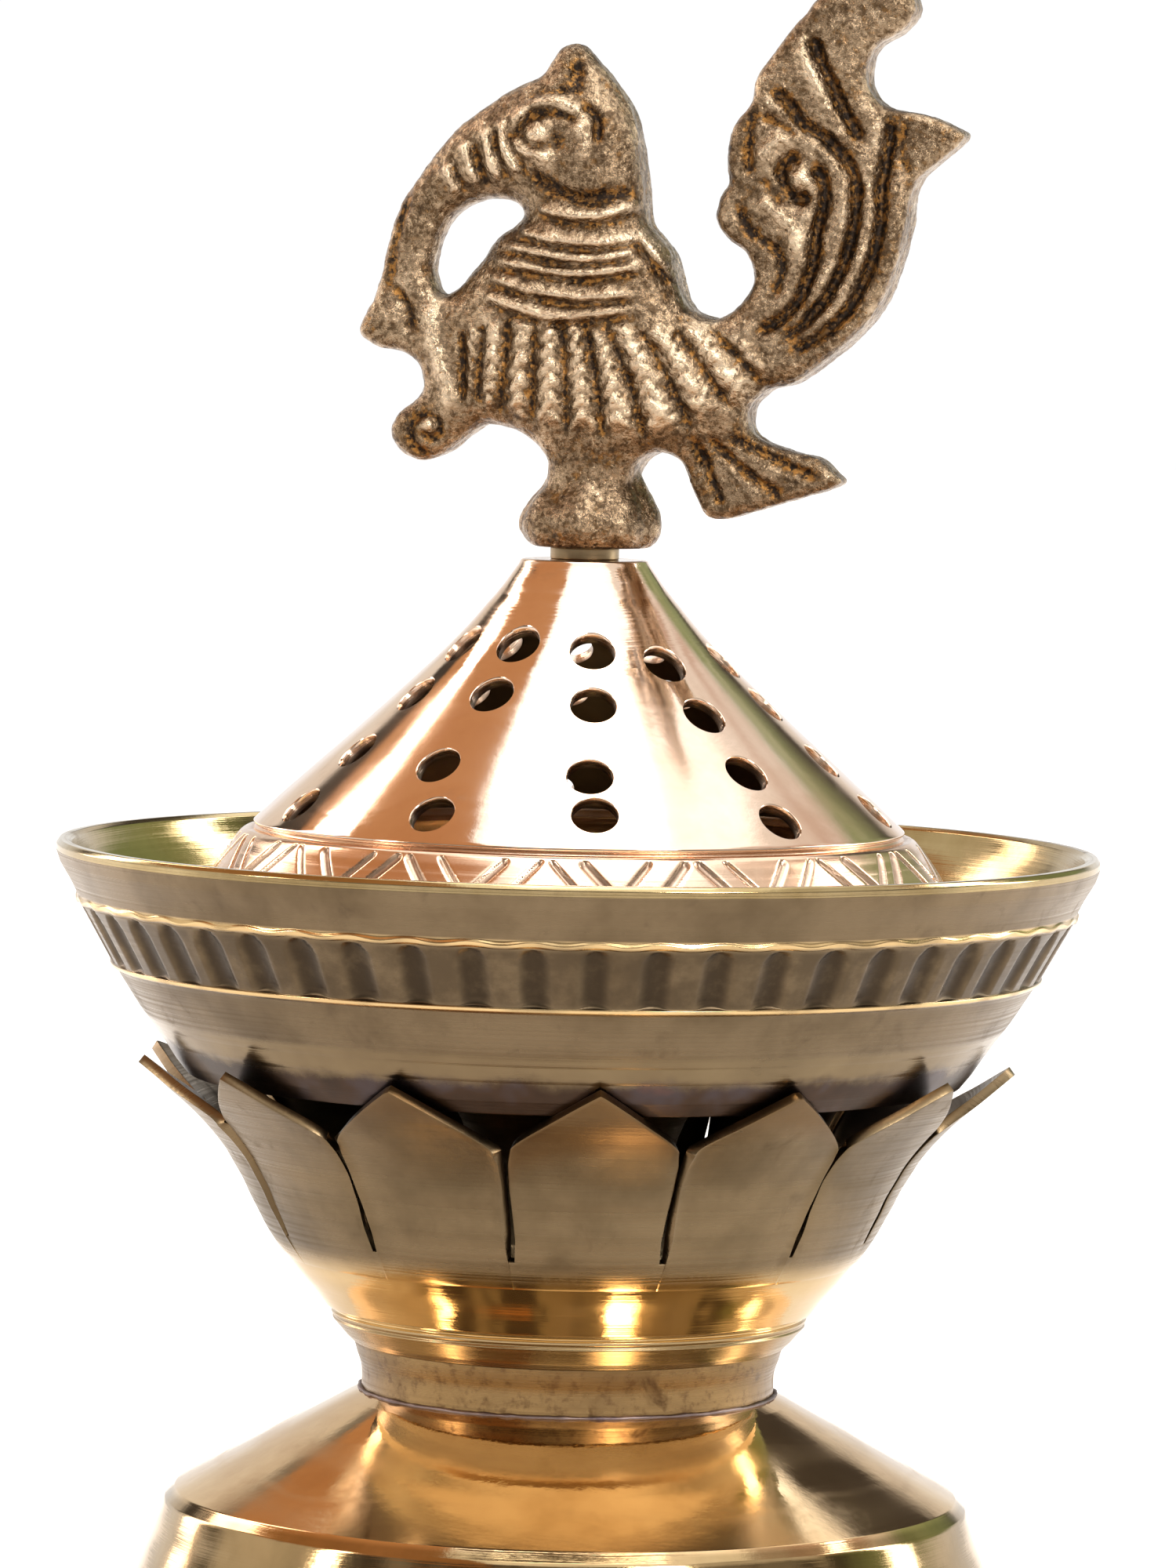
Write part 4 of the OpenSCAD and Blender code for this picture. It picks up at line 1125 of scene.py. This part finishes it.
def cast_brass(name):
    m = Nodes(name)
    cavity = m.attribute("cavity")
    grain = m.noise(900, 5, 0.7)
    fine = m.noise(2300, 3, 0.6)
    blotch = m.noise(130, 4, 0.6)
    pits = m.voronoi(1000)
    speck = m.span(m.noise(1350, 4, 0.75), 0.44, 0.62)
    level = m.plus(cavity, m.times(m.minus(grain, 0.5), 0.45))
    level = m.plus(level, m.times(m.minus(blotch, 0.5), 0.35))
    level = m.plus(level, m.times(speck, 0.17))
    color = m.ramp(level, [(0.2, (0.70, 0.55, 0.38)), (0.44, (0.33, 0.235, 0.145)),
                           (0.60, (0.125, 0.08, 0.044)), (0.80, (0.022, 0.014, 0.009))])
    # painted reflection: orange glints speckled into the middle depths of the hollows
    glow = m.times(m.span(m.noise(1300, 4, 0.7), 0.47, 0.6), 0.6)
    low = m.times(m.span(cavity, 0.45, 0.62), m.span(cavity, 0.72, 0.95, 1, 0.35))
    color = m.mix(m.times(glow, low), color, (0.50, 0.235, 0.055))
    m.put(color, m.bsdf.inputs["Base Color"])
    m.put(m.span(level, 0.65, 1.0, 1.0, 0.8), m.bsdf.inputs["Metallic"])
    m.put(m.plus(m.span(level, 0.3, 0.75, 0.06, 0.32), m.times(fine, 0.10)),
          m.bsdf.inputs["Roughness"])
    normal = m.bump(grain, 0.55, 0.0005)
    normal = m.bump(fine, 0.5, 0.0002, normal)
    normal = m.bump(m.span(pits, 0.0, 0.3), 0.5, 0.00025, normal)
    m.put(normal, m.bsdf.inputs["Normal"])
    return m.material


# ---------------------------------------------------------------- stage
def add_stage():
    SCENE.view_settings.view_transform = "Standard"
    m = Nodes("floor_paint")
    m.put(m.mix(m.noise(3, 3), (0.72, 0.71, 0.70), (0.68, 0.67, 0.66)), m.bsdf.inputs["Base Color"])
    m.bsdf.inputs["Roughness"].default_value = 0.8
    x, y, z = m.xyz()
    away = m.math("SQRT", m.plus(m.times(x, x), m.times(y, y)))
    m.bsdf.inputs["Emission Color"].default_value = (1, 0.99, 0.98, 1)
    turn = math.radians(12)
    back = m.minus(m.times(y, math.cos(turn)), m.times(x, math.sin(turn)))
    glow = m.times(m.span(away, 0.10, 0.35, 0.0, 0.6), m.span(back, -0.15, 0.2))
    m.put(glow, m.bsdf.inputs["Emission Strength"])
    reach = 6000
    verts = [(-reach, -reach, -0.05), (reach, -reach, -0.05), (reach, reach, -0.05),
             (-reach, reach, -0.05)]
    floor = add_object("floor", np.array(verts), [(0, 1, 2, 3)], None, material=m.material,
                       smooth=False)
    add_world()


def add_world():
    """A pale studio: even at eye level, with soft bright, warm and dark panels above it."""
    world = bpy.data.worlds.new("studio")
    world.use_nodes = True
    m = Nodes.__new__(Nodes)
    m.tree = world.node_tree
    m.coords = m.tree.nodes.new("ShaderNodeTexCoord").outputs["Generated"]
    x, y, z = m.xyz()
    turn = math.radians(12)
    side = m.plus(m.times(x, math.cos(turn)), m.times(y, math.sin(turn)))
    back = m.minus(m.times(y, math.cos(turn)), m.times(x, math.sin(turn)))
    streaks = m.span(m.noise(2.6, 2, 0.55, vector=m.scaled(1, 1, 0.22), distortion=0.2), 0.44, 0.54)
    # low walls, dim with bright gaps; a warm wall on the left and a cooler one on the right
    color = m.mix(streaks, (0.07, 0.06, 0.05), (0.85, 0.80, 0.72))
    color = m.mix(m.span(back, -0.35, 0.0, 0.65, 0.0), color, (0.10, 0.085, 0.07))
    right_low = m.mix(m.noise(5, 3, 0.6), (0.10, 0.16, 0.05), (0.55, 0.62, 0.36))
    color = m.mix(m.times(m.span(side, 0.35, 0.5), m.span(back, -0.1, 0.2)), color, right_low)
    warm = m.times(m.span(side, -0.33, -0.30, 1, 0), m.span(z, 0.50, 0.54))
    color = m.mix(warm, color, (0.58, 0.30, 0.14))
    cool = m.times(m.span(side, 0.45, 0.49), m.span(z, 0.5, 0.6))
    color = m.mix(cool, color, m.mix(streaks, (0.62, 0.46, 0.38), (0.95, 0.92, 0.88)))
    middle = m.times(m.span(side, -0.33, -0.30), m.span(side, 0.46, 0.50, 1, 0))
    ceiling = m.times(middle, m.span(z, 0.62, 0.70))
    color = m.mix(ceiling, color, (1.8, 1.82, 1.84))
    horizon = m.mix(m.span(back, -0.5, 0.1), (0.5, 0.49, 0.48), (1.02, 1.02, 1.02))
    color = m.mix(m.span(z, 0.10, 0.24), horizon, color)
    m.put(color, m.tree.nodes["Background"].inputs["Color"])
    m.tree.nodes["Background"].inputs["Strength"].default_value = 1.0
    SCENE.world = world


def add_light(name, place, aim, size, power, color=(1, 1, 1)):
    data = bpy.data.lights.new(name, "AREA")
    data.shape = "RECTANGLE"
    data.size, data.size_y = size
    data.energy = power
    data.color = color
    obj = bpy.data.objects.new(name, data)
    obj.location = place
    obj.rotation_euler = (Vector(aim) - Vector(place)).to_track_quat("-Z", "Y").to_euler()
    SCENE.collection.objects.link(obj)


def add_lights():
    middle = (0, 0, 0.11)
    add_light("key", (0.75, -0.85, 0.75), middle, (0.3, 0.4), 9, (1, 0.98, 0.96))
    add_light("fill", (-0.95, -0.55, 0.55), middle, (0.12, 0.4), 2.5, (1, 0.95, 0.9))
    add_light("top", (0.05, -0.1, 1.2), middle, (0.6, 0.7), 5)
    add_light("left_edge", (-0.8, 0.45, 0.5), middle, (0.2, 0.8), 3, (1, 0.85, 0.75))
    add_light("right_edge", (0.8, 0.5, 0.5), middle, (0.2, 0.8), 4)


# ---------------------------------------------------------------- build
add_camera()

satin = finished(turned_brass("satin_brass_brushed", (0.31, 0.23, 0.13), (0.22, 0.16, 0.09), 0.28,
                              marks=0.35, marks_scale=2000, stain=0.3, soft=0.06))
inside = finished(turned_brass("inside_brass_turned", (0.52, 0.40, 0.21), (0.38, 0.27, 0.12), 0.06,
                               marks=0.3, marks_scale=2200, slope=0.5, stain=0.2))
copper = lid_brass()
fastener = finished(turned_brass("fastener_brass_cut", (0.60, 0.45, 0.25), (0.42, 0.30, 0.15), 0.22,
                                 marks=0.4, marks_scale=3000, stain=0.25))
braze = finished(turned_brass("braze_tinted", (0.26, 0.20, 0.19), (0.13, 0.095, 0.09), 0.35,
                              marks=0.2, stain=0.5, stain_color=(0.08, 0.06, 0.11)))

build_base(base_brass())
build_neck(neck_brass(), braze)
build_pedestal(satin)
build_cup(lotus_brass())
build_bowl(bowl_brass(), inside)
build_lid(copper, shoulder_brass())
build_spacer(satin)
build_bird(cast_brass("cast_antique_brass"))

for node in ("tie_bolt", "base_washer", "base_nut", "lid_washer", "lid_nut", "finial_stud"):
    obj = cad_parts[node]
    obj.data.materials.clear()
    obj.data.materials.append(fastener)

add_stage()
add_lights()
